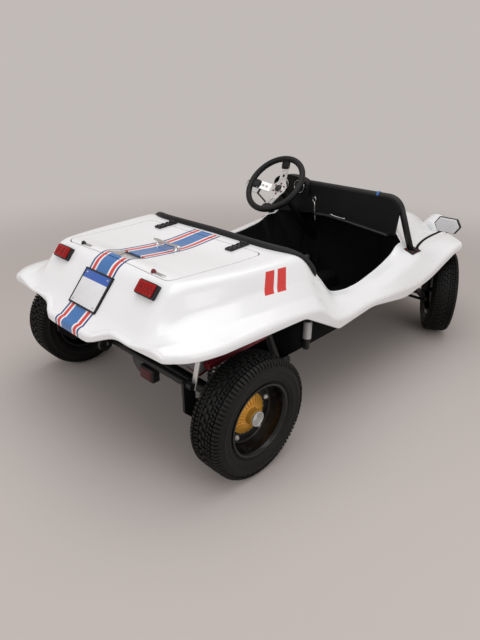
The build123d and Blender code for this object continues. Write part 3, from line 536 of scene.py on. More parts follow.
def rim_profile(half):
    seat = half - SEAT_INSET
    corners = [
        (0, 0.1655, 0),
        (seat - 0.0062, 0.1655, 0.003),
        (seat - 0.0062, 0.1775, 0.002),
        (seat - 0.0005, 0.1785, 0.004),
        (seat + 0.0005, 0.1690, 0.006),
        (seat - 0.0160, 0.1600, 0.010),
        (0.030, 0.1560, 0.016),
        (DISC_FACE + 0.002, 0.1440, 0.014),
        (DISC_FACE, 0.1360, 0.004),
        (DISC_FACE, 0.1070, 0.006),
        (DISC_FACE - 0.0035, 0.1000, 0.002),
        (DISC_FACE - 0.006, 0.1000, 0.001),
        (DISC_FACE - 0.006, 0.1470, 0.008),
        (DISC_FACE - 0.020, 0.1560, 0.012),
        (0.018 - seat, 0.1590, 0.010),
        (-seat, 0.1680, 0.006),
        (0.0005 - seat, 0.1785, 0.004),
        (0.0062 - seat, 0.1775, 0.002),
        (0.0062 - seat, 0.1655, 0.003),
        (0, 0.1655, 0),
    ]
    return rounded_path(corners, 5)[:-1]


rim_black = Finish("rim_black", {"Coat Weight": 0.25, "Coat Roughness": 0.08, "Specular IOR Level": 0.3})
grime = rim_black.noise(30, 6)
rim_black.set(
    "Base Color",
    rim_black.mix(rim_black.ramp(grime, 0.45, 0.8), (0.0018, 0.0018, 0.0021), (0.0084, 0.0081, 0.0078)),
)
rim_black.set("Roughness", grime * 0.3 + 0.18)
rim_black.bump(rim_black.noise(120, 2), 0.05, 0.001)
for body, hub in hubs.items():
    corner = body.removeprefix("wheel_")
    half = TYRE_HALVES[corner.split("_")[0]]
    dish = spun("dish_" + corner, rim_profile(half), 112, closed=True)
    rim = new_object("rim_" + corner + "_dish", outward(dish), rim_black)
    crease(rim.data, 40)
    bolt = hex_bolt(BOLT_SIZE)
    bolt.transform(Matrix.Translation((0, DISC_FACE + BOLT_SINK, BOLT_CIRCLE)))
    bolts = ring("wheel_bolts_" + corner, bolt, BOLTS, bright_alloy)
    rim.data.transform(hub)
    bolts.data.transform(hub)
    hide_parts("rim_" + corner)
    for piece, slot in ((rim, "rim"), (bolts, "alloy")):
        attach(piece, body)

# Hubs: brake drums behind the rims, and in each centre hole a gold-painted cone cast with
# radial ribs, round a bright hollow hub nose with the axle nut down inside.
CONE_LOW = (-0.0144, 0.0996)
CONE_HIGH = (0.014, 0.046)
RIBS = 24
RIB_RISE = 0.0085
RIB_HALVES = (0.0078, 0.0036)
RIB_RUN = ((0.03, 0.1), (0.07, 0.75), (0.14, 1.0), (0.5, 1.0), (0.86, 0.9), (0.97, 0.4))
RIB_BACK = ((-1.0, -0.3), (-0.8, 0.55), (-0.35, 1.0), (0.35, 1.0), (0.8, 0.55), (1.0, -0.3))
NOSE_END = 0.055
NOSE_RADIUS = 0.036
NOSE_BORE = 0.031
NOSE_FLOOR = 0.020
NOSE_SEAT = NOSE_END - 0.009
STUB_RADIUS = 0.0151
DRUM_RADIUS = 0.112
DRUM_DEPTHS = {"front": 0.042, "rear": 0.068}
NUT_SIZE = 0.015
NUT_SEAT = 0.0215

gold_paint = Finish("gold_paint", {"Metallic": 0.4, "Coat Weight": 0.3, "Coat Roughness": 0.15})
tarnish = gold_paint.noise(26, 5)
gold_paint.set("Base Color", gold_paint.mix(tarnish, (0.598, 0.2932, 0.0322), (0.851, 0.483, 0.0805)))
gold_paint.set("Roughness", tarnish * 0.2 + 0.3)
gold_paint.bump(gold_paint.noise(240, 3), 0.25, 0.0008)
drum_iron = coated("drum_iron", (0.05, 0.048, 0.047), 0.5, metallic=0.7, grain=120, depth=0.002)


def cone_point(share, rise, across):
    # A spot on the cone: share of the way in, rise off the surface, and across a rib
    along = CONE_LOW[0] + (CONE_HIGH[0] - CONE_LOW[0]) * share
    radius = CONE_LOW[1] + (CONE_HIGH[1] - CONE_LOW[1]) * share
    slope = math.atan2(CONE_HIGH[0] - CONE_LOW[0], CONE_LOW[1] - CONE_HIGH[1])
    along += rise * math.cos(slope)
    radius += rise * math.sin(slope)
    return (across, along, math.sqrt(max(radius**2 - across**2, 0)))


def cone_rib():
    # One tapered rib with a rounded back, from the rim of the cone in to the nose
    rows = []
    for share, rise in RIB_RUN:
        half = RIB_HALVES[0] * (1 - share) + RIB_HALVES[1] * share
        rows.append([cone_point(share, RIB_RISE * rise * up, half * side) for side, up in RIB_BACK])
    points = [point for row in rows for point in row]
    count = len(RIB_BACK)
    faces = grid_faces(len(rows), count)
    faces += [tuple(range(count)), tuple(range(len(points) - count, len(points)))[::-1]]
    return outward(mesh_of("cone_rib", points, faces))


for body, hub in hubs.items():
    corner = body.removeprefix("wheel_")
    depth = DRUM_DEPTHS[corner.split("_")[0]]
    drum_line = [
        (-depth, STUB_RADIUS, 0), (
            -depth, DRUM_RADIUS, 0.006
        ), (-0.018, DRUM_RADIUS, 0.003), (CONE_LOW[0], 0.108, 0.002),
        (CONE_LOW[0], CONE_LOW[1], 0.001),
    ]
    cone_line = [
        (CONE_LOW[0], CONE_LOW[1], 0), (
            CONE_LOW[0] + 0.003, CONE_LOW[1], 0.002
        ), (CONE_HIGH[0], CONE_HIGH[1], 0.006),
        (CONE_HIGH[0], NOSE_RADIUS + 0.004, 0.003), (NOSE_SEAT, NOSE_RADIUS + 0.0015, 0.001),
        (NOSE_SEAT, NOSE_RADIUS - 0.001, 0),
    ]
    nose_line = [
        (NOSE_END - 0.014, NOSE_RADIUS, 0), (NOSE_END, NOSE_RADIUS, 0.003), (NOSE_END, NOSE_BORE, 0.002),
        (NOSE_FLOOR, NOSE_BORE, 0.002), (NOSE_FLOOR, STUB_RADIUS, 0),
    ]
    drum = new_object(
        "drum_" + corner + "_iron", outward(spun("iron", rounded_path(drum_line, 4), 80)), drum_iron
    )
    cone = new_object("cone_" + corner, outward(spun("cone", rounded_path(cone_line, 4), 80)), gold_paint)
    ribs = ring("ribs_" + corner, cone_rib(), RIBS, gold_paint)
    cone = joined("cone_" + corner, [cone, ribs])
    nut = hex_bolt(NUT_SIZE)
    nut.transform(Matrix.Translation((0, NUT_SEAT, 0)))
    nose_mesh = merged("nose", outward(spun("nose", rounded_path(nose_line, 4), 64)), nut)
    nose = new_object("hub_nose_" + corner, nose_mesh, bright_alloy)
    for piece in (drum, cone, nose):
        crease(piece.data, 40)
        piece.data.transform(hub)
    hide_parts("drum_" + corner)
    for piece, slot in ((drum, "cast"), (cone, "gold"), (nose, "alloy")):
        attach(piece, body)


# Body shell: one moulding of white gelcoated fibreglass with four flared wings, about 6 mm thick,
# near-black on its inner side, partly as black paint and partly as painted shade under the moulding. Its free
# edges are rolled round.
STATIONS = [
    # x, crown z, shoulder y z, waist y z, crest y z, lip y z
    (-1.490, 0.610, 0.400, 0.604, 0.440, 0.640, 0.480, 0.672, 0.520, 0.668),
    (-1.430, 0.657, 0.415, 0.652, 0.488, 0.676, 0.545, 0.693, 0.600, 0.680),
    (-1.384, 0.694, 0.430, 0.689, 0.520, 0.697, 0.602, 0.706, 0.670, 0.687),
    (-1.340, 0.747, 0.443, 0.741, 0.528, 0.716, 0.622, 0.711, 0.704, 0.689),
    (-1.290, 0.808, 0.455, 0.797, 0.535, 0.735, 0.634, 0.716, 0.725, 0.690),
    (-1.228, 0.878, 0.472, 0.864, 0.546, 0.755, 0.643, 0.720, 0.739, 0.690),
    (-1.175, 0.896, 0.484, 0.881, 0.552, 0.765, 0.646, 0.722, 0.745, 0.690),
    (-1.090, 0.879, 0.506, 0.884, 0.570, 0.775, 0.655, 0.724, 0.745, 0.688),
    (-0.850, 0.868, 0.556, 0.887, 0.605, 0.788, 0.670, 0.726, 0.745, 0.688),
    (-0.560, 0.898, 0.585, 0.891, 0.645, 0.786, 0.690, 0.718, 0.745, 0.660),
    (-0.400, 0.830, 0.606, 0.762, 0.640, 0.690, 0.682, 0.630, 0.745, 0.560),
    (-0.280, 0.700, 0.607, 0.640, 0.642, 0.622, 0.686, 0.592, 0.745, 0.545),
    (-0.100, 0.670, 0.605, 0.612, 0.642, 0.604, 0.690, 0.588, 0.745, 0.565),
    (0.180, 0.710, 0.600, 0.630, 0.636, 0.624, 0.690, 0.602, 0.747, 0.545),
    (0.420, 0.830, 0.575, 0.676, 0.618, 0.662, 0.680, 0.636, 0.748, 0.530),
    (0.600, 0.905, 0.465, 0.800, 0.560, 0.696, 0.660, 0.668, 0.750, 0.560),
    (1.029, 0.858, 0.330, 0.800, 0.450, 0.690, 0.620, 0.692, 0.750, 0.676),
    (1.260, 0.795, 0.290, 0.742, 0.420, 0.655, 0.600, 0.680, 0.745, 0.672),
    (1.400, 0.715, 0.260, 0.664, 0.390, 0.602, 0.575, 0.612, 0.735, 0.590),
    (1.480, 0.600, 0.235, 0.570, 0.365, 0.545, 0.550, 0.550, 0.715, 0.530),
]
LIP_LINE = [
    # x, z and blend of the lower edge in side view
    (-1.600, 0.662, 0), (-1.215, 0.662, 0.4), (
        -0.660, 0.652, 0.12
    ), (-0.370, 0.503, 0.04), (-0.050, 0.536, 0.40),
    (0.330, 0.481, 0.5), (0.630, 0.529, 0.6), (0.940, 0.628, 0.4), (1.180, 0.650, 0.2), (1.340, 0.640, 0.15),
    (1.500, 0.500, 0),
]
TAIL_LINE = [
    # y, x and blend of the rear edge in plan
    (0, -1.478, 0), (0.185, -1.478, 0.09), (0.265, -1.428, 0.09), (0.420, -1.432, 0.3), (0.800, -1.412, 0),
]
NOSE_LINE = [
    # y, x and blend of the front edge in plan
    (0, 1.480, 0), (0.466, 1.480, 0.02), (0.474, 1.440, 0.05), (0.520, 1.230, 0.12), (0.660, 1.130, 0.09),
    (0.765, 1.050, 0),
]
TAIL_START = -1.15
TAIL_ROUND = 0.030
TAIL_DROP = 0.026
TAIL_FALL = 0.05
TAIL_CORNER = (0.46, 0.62)
TAIL_LOW = (0.600, 0.660)
TAIL_RISE = (0.14, 0.36)
NOSE_START = 0.90
NOSE = 1.480
NOSE_ROUND = 0.030
NOSE_HALF = 0.70
WING_START = (0.44, 0.50)
NOSE_LOW = 0.470
ROW_STEP = 0.016
BLEND = {"lip": 0.032, "crest": 0.080, "waist": 0.070, "shoulder": 0.065, "crown": 0.70}
WALL = 0.006
EDGE_POINTS = 24
LIP_FOOT = 0.42
CORNER_STEPS = 9
EVEN_SPREAD = 0.028
EVEN_RISE = (-0.75, -0.60)
EVEN_FALL = (-0.22, -0.05)
PLAN_PASSES = 3
TURN_IN = (0.7, 0.6)
TAIL_FACE = 0.97
NOSE_FACE = 0.004
QUARTER_TURN = np.linspace(0, math.pi / 2, 6)[1:]


def smooth_table(x):
    # Each column of the stations at x, by cubics that keep the rises and falls of the table
    table = np.array(STATIONS)
    steps = np.diff(table[:, 0])
    slopes = np.diff(table[:, 1:], axis=0) / steps[:, None]
    tangents = np.zeros_like(table[:, 1:])
    same = slopes[:-1] * slopes[1:] > 0
    blend = 2 * slopes[:-1] * slopes[1:] / np.where(same, slopes[:-1] + slopes[1:], 1)
    tangents[1:-1] = np.where(same, blend, 0)
    tangents[0] = slopes[0]
    tangents[-1] = slopes[-1]
    index = int(np.clip(np.searchsorted(table[:, 0], x) - 1, 0, len(steps) - 1))
    step = steps[index]
    t = (x - table[index, 0]) / step
    first, last = table[index, 1:], table[index + 1, 1:]
    return (
        (2 * t**3 - 3 * t**2 + 1) * first
        + (t**3 - 2 * t**2 + t) * step * tangents[index]
        + (3 * t**2 - 2 * t**3) * last
        + (t**3 - t**2) * step * tangents[index + 1]
    )


def eased(value, low, high):
    share = np.clip((value - low) / (high - low), 0, 1)
    return share * share * (3 - 2 * share)


def body_table(x):
    # The table at x, evened out beside the low part of the cockpit
    spread = EVEN_SPREAD * eased(x, *EVEN_RISE) * (1 - eased(x, *EVEN_FALL))
    return np.mean([smooth_table(x + spread * part) for part in (-1, -0.5, 0, 0.5, 1)], axis=0)


lip_path = rounded_path(LIP_LINE, 12)
tail_path = rounded_path(TAIL_LINE, 12)
nose_path = rounded_path(NOSE_LINE, 12)


def half_section(x):
    # The section from the lip up to the middle line, with the same number of points everywhere
    crown, shoulder_y, shoulder_z, waist_y, waist_z, crest_y, crest_z, lip_y, lip_z = body_table(x)
    bottom = float(np.interp(x, lip_path[:, 0], lip_path[:, 1]))
    corners = [
        (lip_y, LIP_FOOT, 0),
        (lip_y, lip_z, BLEND["lip"]),
        (crest_y, crest_z, BLEND["crest"]),
        (waist_y, waist_z, BLEND["waist"]),
        (shoulder_y, shoulder_z, BLEND["shoulder"]),
        (0, crown, BLEND["crown"]),
        (-shoulder_y, shoulder_z, 0),
    ]
    path = rounded_path(corners, CORNER_STEPS)
    lip, crest, waist, shoulder, top = path[1:-1].reshape(-1, CORNER_STEPS, 2)
    top = top[: CORNER_STEPS // 2 + 1]
    edge = np.concatenate([path[:1], lip, crest[:1]])
    above = edge[:, 1] > bottom
    first = int(np.argmax(above)) if above.any() else len(edge) - 1
    share = (bottom - edge[first - 1, 1]) / max(edge[first, 1] - edge[first - 1, 1], 1e-6)
    cut = edge[first - 1] + (edge[first] - edge[first - 1]) * np.clip(share, 0, 1)
    edge = np.concatenate([[cut], edge[first:]])
    length = run_length(edge)
    wanted = np.linspace(0, length[-1], EDGE_POINTS)
    edge = np.stack([np.interp(wanted, length, edge[:, 0]), np.interp(wanted, length, edge[:, 1])], axis=1)
    pieces = [edge[:-1], crest]
    for low, high, count in ((crest, waist, 4), (waist, shoulder, 5), (shoulder, top, 12)):
        run = np.linspace(0, 1, count + 1)[1:, None]
        pieces.append(low[-1] + (high[0] - low[-1]) * run[:-1])
        pieces.append(high)
    return np.concatenate(pieces)


def body_rows():
    # Sections from tail to nose, drawn together where the ends of the wings stand back in plan
    rows = []
    first, last = TAIL_LINE[0][1] + TAIL_ROUND, NOSE - NOSE_ROUND
    for x in np.append(np.arange(first, last, ROW_STEP), last):
        section = half_section(x)
        xs = np.full(len(section), x)
        for start, end, path, reach in (
            (TAIL_START, first, tail_path, TAIL_ROUND), (NOSE_START, last, nose_path, -NOSE_ROUND)
        ):
            share = (x - start) / (end - start)
            for _ in range(PLAN_PASSES if share > 0 else 0):
                limit = np.interp(section[:, 0], path[:, 0], path[:, 1]) + reach
                xs = start + (limit - start) * share
                section = np.array([half_section(spot)[column] for column, spot in enumerate(xs)])
        rows.append(np.column_stack([xs, section]))
    end = rows[0]
    low = TAIL_LOW[0] + (TAIL_LOW[1] - TAIL_LOW[0]) * eased(end[:, 1], *TAIL_RISE)
    fall = TAIL_DROP * np.clip((end[:, 2] - low) / TAIL_FALL, 0, 1)
    turned_in = TAIL_ROUND * eased(end[:, 1], *TAIL_CORNER)
    rounding = []
    for turn in QUARTER_TURN:
        row = end.copy()
        row[:, 0] -= TAIL_ROUND * math.sin(turn)
        row[:, 1] -= turned_in * (TURN_IN[0] * math.sin(turn) + TURN_IN[1] * (1 - math.cos(turn)))
        row[:, 2] -= fall * (1 - math.cos(turn))
        rounding.append(row)
    lip_row = rounding[-1]
    drop = TAIL_FACE * (lip_row[:, 2] - low)
    for share in (0.33, 0.67, 1):
        row = lip_row.copy()
        row[:, 2] -= drop * share
        rounding.append(row)
    rows = rounding[::-1] + rows
    edge = rows[-1]
    tip = edge[0, 2]
    for turn in QUARTER_TURN:
        drop = NOSE_ROUND * (1 - math.cos(turn))
        row = edge + (NOSE_ROUND * math.sin(turn), 0, 0)
        row[:, 1] *= 1 - drop / NOSE_HALF
        row[:, 2] = np.maximum(row[:, 2] - drop, np.minimum(row[:, 2], tip))
        rows.append(row)
    face = rows[-1]
    wing = np.clip((face[:, 1] - WING_START[0]) / (WING_START[1] - WING_START[0]), 0, 1)
    low = NOSE_LOW + (tip - NOSE_LOW) * wing**2 * (3 - 2 * wing)
    low = np.minimum(low, face[:, 2] - NOSE_FACE)
    for share in np.linspace(0, 1, 8)[1:]:
        lower = face.copy()
        lower[:, 2] = face[:, 2] + (low - face[:, 2]) * share
        rows.append(lower)
    return rows


def tube(name, path, radius, sides=8, closed=False, caps=True):
    # A round bar along points, its rings turned as little as possible from one to the next
    path = [Vector(point) for point in path]
    count = len(path)
    points = []
    across = None
    for index, spot in enumerate(path):
        before = path[index - 1] if index or closed else spot
        after = path[(index + 1) % count] if index < count - 1 or closed else spot
        along = (after - before).normalized()
        if across is None:
            across = along.orthogonal().normalized()
        across = (across - along * across.dot(along)).normalized()
        side = along.cross(across)
        thick = radius[index] if hasattr(radius, "__len__") else radius
        for turn in np.linspace(0, 2 * math.pi, sides, endpoint=False):
            points.append(spot + (across * math.cos(turn) + side * math.sin(turn)) * thick)
    faces = grid_faces(count, sides, wrap_rows=closed, wrap_columns=True)
    if caps and not closed:
        faces.append(tuple(range(sides)))
        faces.append(tuple(range((count - 1) * sides, count * sides))[::-1])
    return outward(mesh_of(name, points, faces))


def prism(name, outline, low, high):
    # An upright block over a plan outline
    count = len(outline)
    points = [(x, y, z) for z in (low, high) for x, y in outline]
    faces = [tuple(range(count))[::-1], tuple(range(count, 2 * count))]
    faces += [(i, (i + 1) % count, (i + 1) % count + count, i + count) for i in range(count)]
    return new_object(name, outward(mesh_of(name, points, faces, smooth=False)))


def closed_path(corners, steps=6):
    # A closed outline: the path starts and ends in the middle of its last side
    middle = [(corners[-1][i] + corners[0][i]) / 2 for i in range(2)] + [0]
    return rounded_path([middle, *corners, middle], steps)[:-1]


def spaced(path, step):
    # Points at even steps round a closed path
    ring_path = np.vstack([path, path[:1]])
    length = run_length(ring_path)
    wanted = np.linspace(0, length[-1], int(length[-1] / step), endpoint=False)
    return np.stack([np.interp(wanted, length, column) for column in ring_path.T], axis=1)


def cut(piece, operation, *tools):
    for tool in tools:
        modifier = piece.modifiers.new("cut", "BOOLEAN")
        modifier.operation = operation
        modifier.solver = "EXACT"
        modifier.object = tool
    return settle(piece)


def skin_height(x, y):
    section = half_section(x)[EDGE_POINTS:][::-1]
    return float(np.interp(abs(y), section[:, 0], section[:, 1]))


gelcoat = Finish("white_gelcoat", {"Coat Weight": 0.5, "Coat Roughness": 0.05, "Specular IOR Level": 0.5})
SIGNAL_RED = (0.62, 0.035, 0.03)
STRIPES = [
    # half widths from the middle line, and the paint between them
    (0.000, 0.046, (0.035, 0.155, 0.42)),
    (0.058, 0.080, SIGNAL_RED),
    (0.090, 0.103, (0.02, 0.05, 0.20)),
]
STRIPE_END = -0.606
HASH_BARS = (-0.825, -0.772, -0.752, -0.699)
HASH_LOW = 0.772
HASH_HIGH = 0.862
HASH_LEAN = 0.55
HASH_SIDE = (0.545, 0.555)
DUST_RISE = (0.47, 0.60)
EDGE_SOFT = 0.0008
along = gelcoat.axis("X")
aside = abs(gelcoat.axis("Y"))
height = gelcoat.axis("Z")
film = gelcoat.noise(3, 4)
paint = gelcoat.mix(film, (0.805, 0.825, 0.845), (0.84, 0.858, 0.876))
deck = 1 - gelcoat.ramp(along, STRIPE_END - EDGE_SOFT, STRIPE_END + EDGE_SOFT)
for near, far, color in STRIPES:
    stripe = gelcoat.band(aside, near - (0.01 if near == 0 else 0), far, EDGE_SOFT) * deck
    paint = gelcoat.mix(stripe, paint, color)
leaning = along - (height - HASH_LOW) * HASH_LEAN
bars = gelcoat.band(leaning, *HASH_BARS[:2], EDGE_SOFT) + gelcoat.band(leaning, *HASH_BARS[2:], EDGE_SOFT)
flank = gelcoat.band(height, HASH_LOW, HASH_HIGH, EDGE_SOFT) * gelcoat.ramp(aside, *HASH_SIDE)
paint = gelcoat.mix(bars * flank, paint, SIGNAL_RED)
dust = (1 - gelcoat.ramp(height, *DUST_RISE)) * gelcoat.noise(22, 5)
gelcoat.set("Base Color", gelcoat.mix(dust * 0.35, paint, (0.46, 0.43, 0.40)))
gelcoat.set("Roughness", film * 0.10 + dust * 0.3 + 0.16)
gelcoat.bump(gelcoat.noise(55, 2), 0.04, 0.002)
# Inner side of the shell: near-black, part black paint and part painted shade for the shadowed underside of
# the moulding
inner_black_painted_shade = coated("inner_black_painted_shade", (0.004, 0.004, 0.0043), 0.7, grain=90, depth=0.002, shine=0.2)

half_rows = body_rows()
columns = 2 * len(half_rows[0]) - 1
mirrored = [np.concatenate([row, row[::-1][1:] * (1, -1, 1)]) for row in half_rows]
skin_mesh = mesh_of("body_skin", np.concatenate(mirrored), grid_faces(len(mirrored), columns))
skin = new_object("body_skin", skin_mesh, gelcoat, inner_black_painted_shade)
wall = skin.modifiers.new("wall", "SOLIDIFY")
wall.thickness = WALL
wall.offset = -1
wall.material_offset = 1
settle(skin)

COCKPIT = [(-0.535, -0.612), (0.0, -0.600), (0.585, -0.540), (0.585, 0.540), (0.0, 0.600), (-0.535, 0.612)]
LID = [(-1.205, -0.425), (-0.648, -0.450), (-0.648, 0.450), (-1.205, 0.425)]
LID_CORNER = 0.050
LID_GAP = 0.005
COCKPIT_DEPTH = (0.35, 1.2)
LID_DEPTH = (0.7, 1.2)
COCKPIT_BLENDS = {-0.535: 0.13, 0.0: 0.5, 0.585: 0.02}
cockpit_line = closed_path([(x, y, COCKPIT_BLENDS[x]) for x, y in COCKPIT], 10)
lid_line = closed_path([(x, y, LID_CORNER) for x, y in LID], 8)
shell = new_object("body_moulding", skin.data.copy())
cockpit_tool = prism("cockpit_tool", cockpit_line, *COCKPIT_DEPTH)
lid_tool = prism("lid_tool", lid_line, *LID_DEPTH)
cut(shell, "DIFFERENCE", cockpit_tool, lid_tool)
crease(shell.data, 32)

ROLLED_EDGE = 0.0058
BODY_MIDDLE = (0, 0, 0.62)
BEAD_STEP = 0.003
COCKPIT_STEP = 0.02
FLIP = np.array((1, -1, 1))


def inside_edge(point, inner, along):
    # A spot just under the skin at its edge, so that the bead is flush with the outer side
    side = np.cross(along, inner - point)
    side /= max(np.linalg.norm(side), 1e-9)
    return point - side * math.copysign(ROLLED_EDGE, side @ (point - BODY_MIDDLE))


quarter = []
for line, inner in (
    ([row[0] for row in half_rows[::-1]], [row[1] for row in half_rows[::-1]]),
    (list(half_rows[0][1:]), list(half_rows[1][1:])),
):
    for index, point in enumerate(line):
        along = line[min(index + 1, len(line) - 1)] - line[max(index - 1, 0)]
        quarter.append(inside_edge(point, inner[index], along))
front = half_rows[-1][-2:0:-1]
round_trip = quarter + [point * FLIP for point in quarter[-2::-1]]
round_trip += list(front[::-1] * FLIP) + [half_rows[-1][-1]] + list(front)
edge = [round_trip[0]]
for point in round_trip[1:]:
    if np.linalg.norm(point - edge[-1]) > BEAD_STEP:
        edge.append(point)
cockpit_edge = [(x, y, skin_height(x, y) - WALL / 2) for x, y in spaced(cockpit_line, COCKPIT_STEP)]
beads = []
for name, path in (("rolled_edge", edge), ("cockpit_edge", cockpit_edge)):
    beads.append(new_object(name, tube(name, path, ROLLED_EDGE, closed=True), gelcoat))
body = joined("body_moulding", [shell] + beads)
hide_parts("body_shell")
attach(body, "chassis")


# Cockpit pan: the floor and walls of the pressed steel tub, in the floor pan's stone-guard coat. The
# walls end just under the edge of the moulding, which is bolted down over them.
PAN_BELOW = 0.013


def merged_copy(name, node, finish):
    # A node's own shape as a piece of the scene, its split points merged
    mesh = nodes[node].data.copy()
    mesh.materials.clear()
    piece = new_object(name, mesh, finish)
    form = bmesh.new()
    form.from_mesh(piece.data)
    bmesh.ops.remove_doubles(form, verts=form.verts[:], dist=1e-5)
    form.to_mesh(piece.data)
    form.free()
    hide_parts(node)
    return piece


pan = merged_copy("cockpit_pan", "cockpit_tub", stone_guard)
for vert in pan.data.vertices:
    vert.co.z = min(vert.co.z, skin_height(vert.co.x, vert.co.y) - PAN_BELOW)
crease(pan.data, 30)
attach(pan, "chassis")

# Engine lid: a panel of the same moulding in the deck, with a notch for the air outlet at its
# rear edge. It lifts at the back, on two hinges under the padded roll.
VENT_FRONT = -1.082
VENT_REAR = -1.180
VENT_HALF = 0.088
shrink = 1 - 2 * LID_GAP / (LID[2][1] * 2)
middle = (LID[0][0] + LID[1][0]) / 2
length_shrink = 1 - 2 * LID_GAP / (LID[1][0] - LID[0][0])
inner_line = [(middle + (x - middle) * length_shrink, y * shrink) for x, y in lid_line]
panel = new_object("lid_moulding", skin.data.copy())
inner_tool = prism("inner_tool", inner_line, *LID_DEPTH)
cut(panel, "INTERSECT", inner_tool)
notch = [(VENT_REAR, -VENT_HALF), (VENT_FRONT, -VENT_HALF), (VENT_FRONT, VENT_HALF), (VENT_REAR, VENT_HALF)]
vent_tool = prism("vent_tool", notch, *LID_DEPTH)
cut(panel, "DIFFERENCE", vent_tool)
crease(panel.data, 32)
for tool in (cockpit_tool, lid_tool, inner_tool, vent_tool, skin):
    bpy.data.objects.remove(tool)
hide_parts("engine_lid")
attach(panel, "lid")


# Rear gear: coil springs over the dampers, flat alloy struts from the bar up to the wings, a grey
# panel beside the engine, a canister at each corner of the pan and a boxed lamp. All are bolted on.
SPRING_TURNS = 5.5
SPRING_RADIUS = 0.033
SPRING_WIRE = 0.0048
SPRING_POINTS = 110
SPRING_SPAN = (0.18, 0.68)
SHOCK_LOW = (-1.039, 0.520, 0.310)
SHOCK_HIGH = (-1.059, 0.550, 0.502)
STRUT_LOW = (-1.226, 0.590, 0.452)
STRUT_HIGH = (-1.172, 0.590, 0.690)
STRUT_HALVES = (0.014, 0.004)
STRUT_OVER = 0.012
STRUT_BOLT = 0.003
FOG_LOW = (-1.269, -0.350, 0.3726)
FOG_HIGH = (-1.223, -0.250, 0.4426)
FOG_FRAME = 0.008


def rounded_edges(piece, radius, steps=3):
    rounding = piece.modifiers.new("rounding", "BEVEL")
    rounding.width = radius
    rounding.segments = steps
    settle(piece)
    crease(piece.data, 40)
    return piece


def block(name, low, high, radius, *finishes, steps=3):
    # A box with rounded edges
    form = bmesh.new()
    bmesh.ops.create_cube(form, size=1)
    for vert in form.verts:
        vert.co = [low[i] + (high[i] - low[i]) * (vert.co[i] + 0.5) for i in range(3)]
    return rounded_edges(new_object(name, mesh_from(name, form), *finishes), radius, steps)


def stood(mesh, place, facing):
    # A mesh that stands on the plane Y 0, put on a spot with its Y axis along facing
    turn = Vector(facing).to_track_quat("Y", "Z").to_matrix().to_4x4()
    mesh.transform(Matrix.Translation(place) @ turn)
    return mesh


def turned(name, line, segments, place, facing, finish, angle=None, closed=False):
    # A turned piece that stands on a spot, with the edges past an angle kept sharp
    mesh = outward(spun(name, line, segments, closed=closed))
    if angle:
        crease(mesh, angle)
    return new_object(name, stood(mesh, place, facing), finish)


# A copy of the pattern on every point, its Y axis turned along the point's facing
FIXINGS = copies_tree(
    "fixings_on_points",
    (("Geometry", "Geometry"), ("Pattern", "Object"), ("Finish", "Material")),
    (
        ("given", "NodeGroupInput", {}, {}),
        ("points", "GeometryNodeMeshToPoints", {}, {}),
        ("facing", "GeometryNodeInputNamedAttribute", {"data_type": "FLOAT_VECTOR"}, {"Name": "facing"}),
        ("turn", "FunctionNodeAlignRotationToVector", {"axis": "Y"}, {}),
        ("pattern", "GeometryNodeObjectInfo", {}, {}),
        ("copies", "GeometryNodeInstanceOnPoints", {}, {}),
        ("real", "GeometryNodeRealizeInstances", {}, {}),
        ("paint", "GeometryNodeSetMaterial", {}, {}),
        ("result", "NodeGroupOutput", {}, {}),
    ),
    (
        ("given", "Geometry", "points", "Mesh"), ("facing", "Attribute", "turn", "Vector"),
        ("given", "Pattern", "pattern", "Object"), ("points", 0, "copies", "Points"),
        (
            "pattern", "Geometry", "copies", "Instance"
        ), ("turn", 0, "copies", "Rotation"), ("copies", 0, "real", 0),
        ("real", 0, "paint", "Geometry"), ("given", "Finish", "paint", "Material"), ("paint", 0, "result", 0),
    ),
)


def fixings(name, spots, pattern, finish):
    # Bolts, rivets or screws on (place, facing) spots
    mesh = bpy.data.meshes.new(name)
    mesh.from_pydata([tuple(place) for place, facing in spots], [], [])
    facings = mesh.attributes.new("facing", "FLOAT_VECTOR", "POINT")
    facings.data.foreach_set("vector", [value for place, facing in spots for value in facing])
    piece = new_object(name, mesh)
    sample = new_object(name + "_pattern", pattern)
    modifier = piece.modifiers.new("fixings", "NODES")
    modifier.node_group = FIXINGS
    set_input(modifier, "Pattern", sample)
    set_input(modifier, "Finish", finish.material)
    settle(piece)
    bpy.data.objects.remove(sample)
    return piece


spring_paint = coated("spring_paint", (0.02, 0.02, 0.022), 0.35)
grey_sheet = coated("grey_sheet", (0.52, 0.52, 0.52), 0.4, metallic=0.3, grain=220)
spring_parts = []
strut_parts = []
bolt_spots = []
for side in (1, -1):
    flip = Vector((1, side, 1))
    low, high = Vector(SHOCK_LOW) * flip, Vector(SHOCK_HIGH) * flip
    along = (high - low).normalized()
    across = along.orthogonal().normalized()
    beside = along.cross(across)
    coil = []
    for turn in np.linspace(0, SPRING_TURNS * 2 * math.pi, SPRING_POINTS):
        share = SPRING_SPAN[0] + SPRING_SPAN[1] * turn / (SPRING_TURNS * 2 * math.pi)
        coil.append(
            low.lerp(high, share) + (across * math.cos(turn) + beside * math.sin(turn)) * SPRING_RADIUS
        )
    spring_parts.append(new_object("coil_spring", tube("coil_spring", coil, SPRING_WIRE, 8), spring_paint))
    low, high = Vector(STRUT_LOW) * flip, Vector(STRUT_HIGH) * flip
    wide, thick = STRUT_HALVES
    strut_end = (wide, thick, (high - low).length + STRUT_OVER)
    strut = block("strut", (-wide, -thick, -STRUT_OVER), strut_end, 0.0025, bright_alloy)
    strut.data.transform(Matrix.Translation(low) @ (high - low).to_track_quat("Z", "Y").to_matrix().to_4x4())
    strut_parts.append(strut)
    for spot, drop in ((low, 0), (high, -STRUT_OVER)):
        bolt_spots.append((spot + Vector((0, side * STRUT_BOLT, drop)), (0, side, 0)))
springs = joined("coil_springs", spring_parts)
struts = joined("wing_struts", strut_parts)
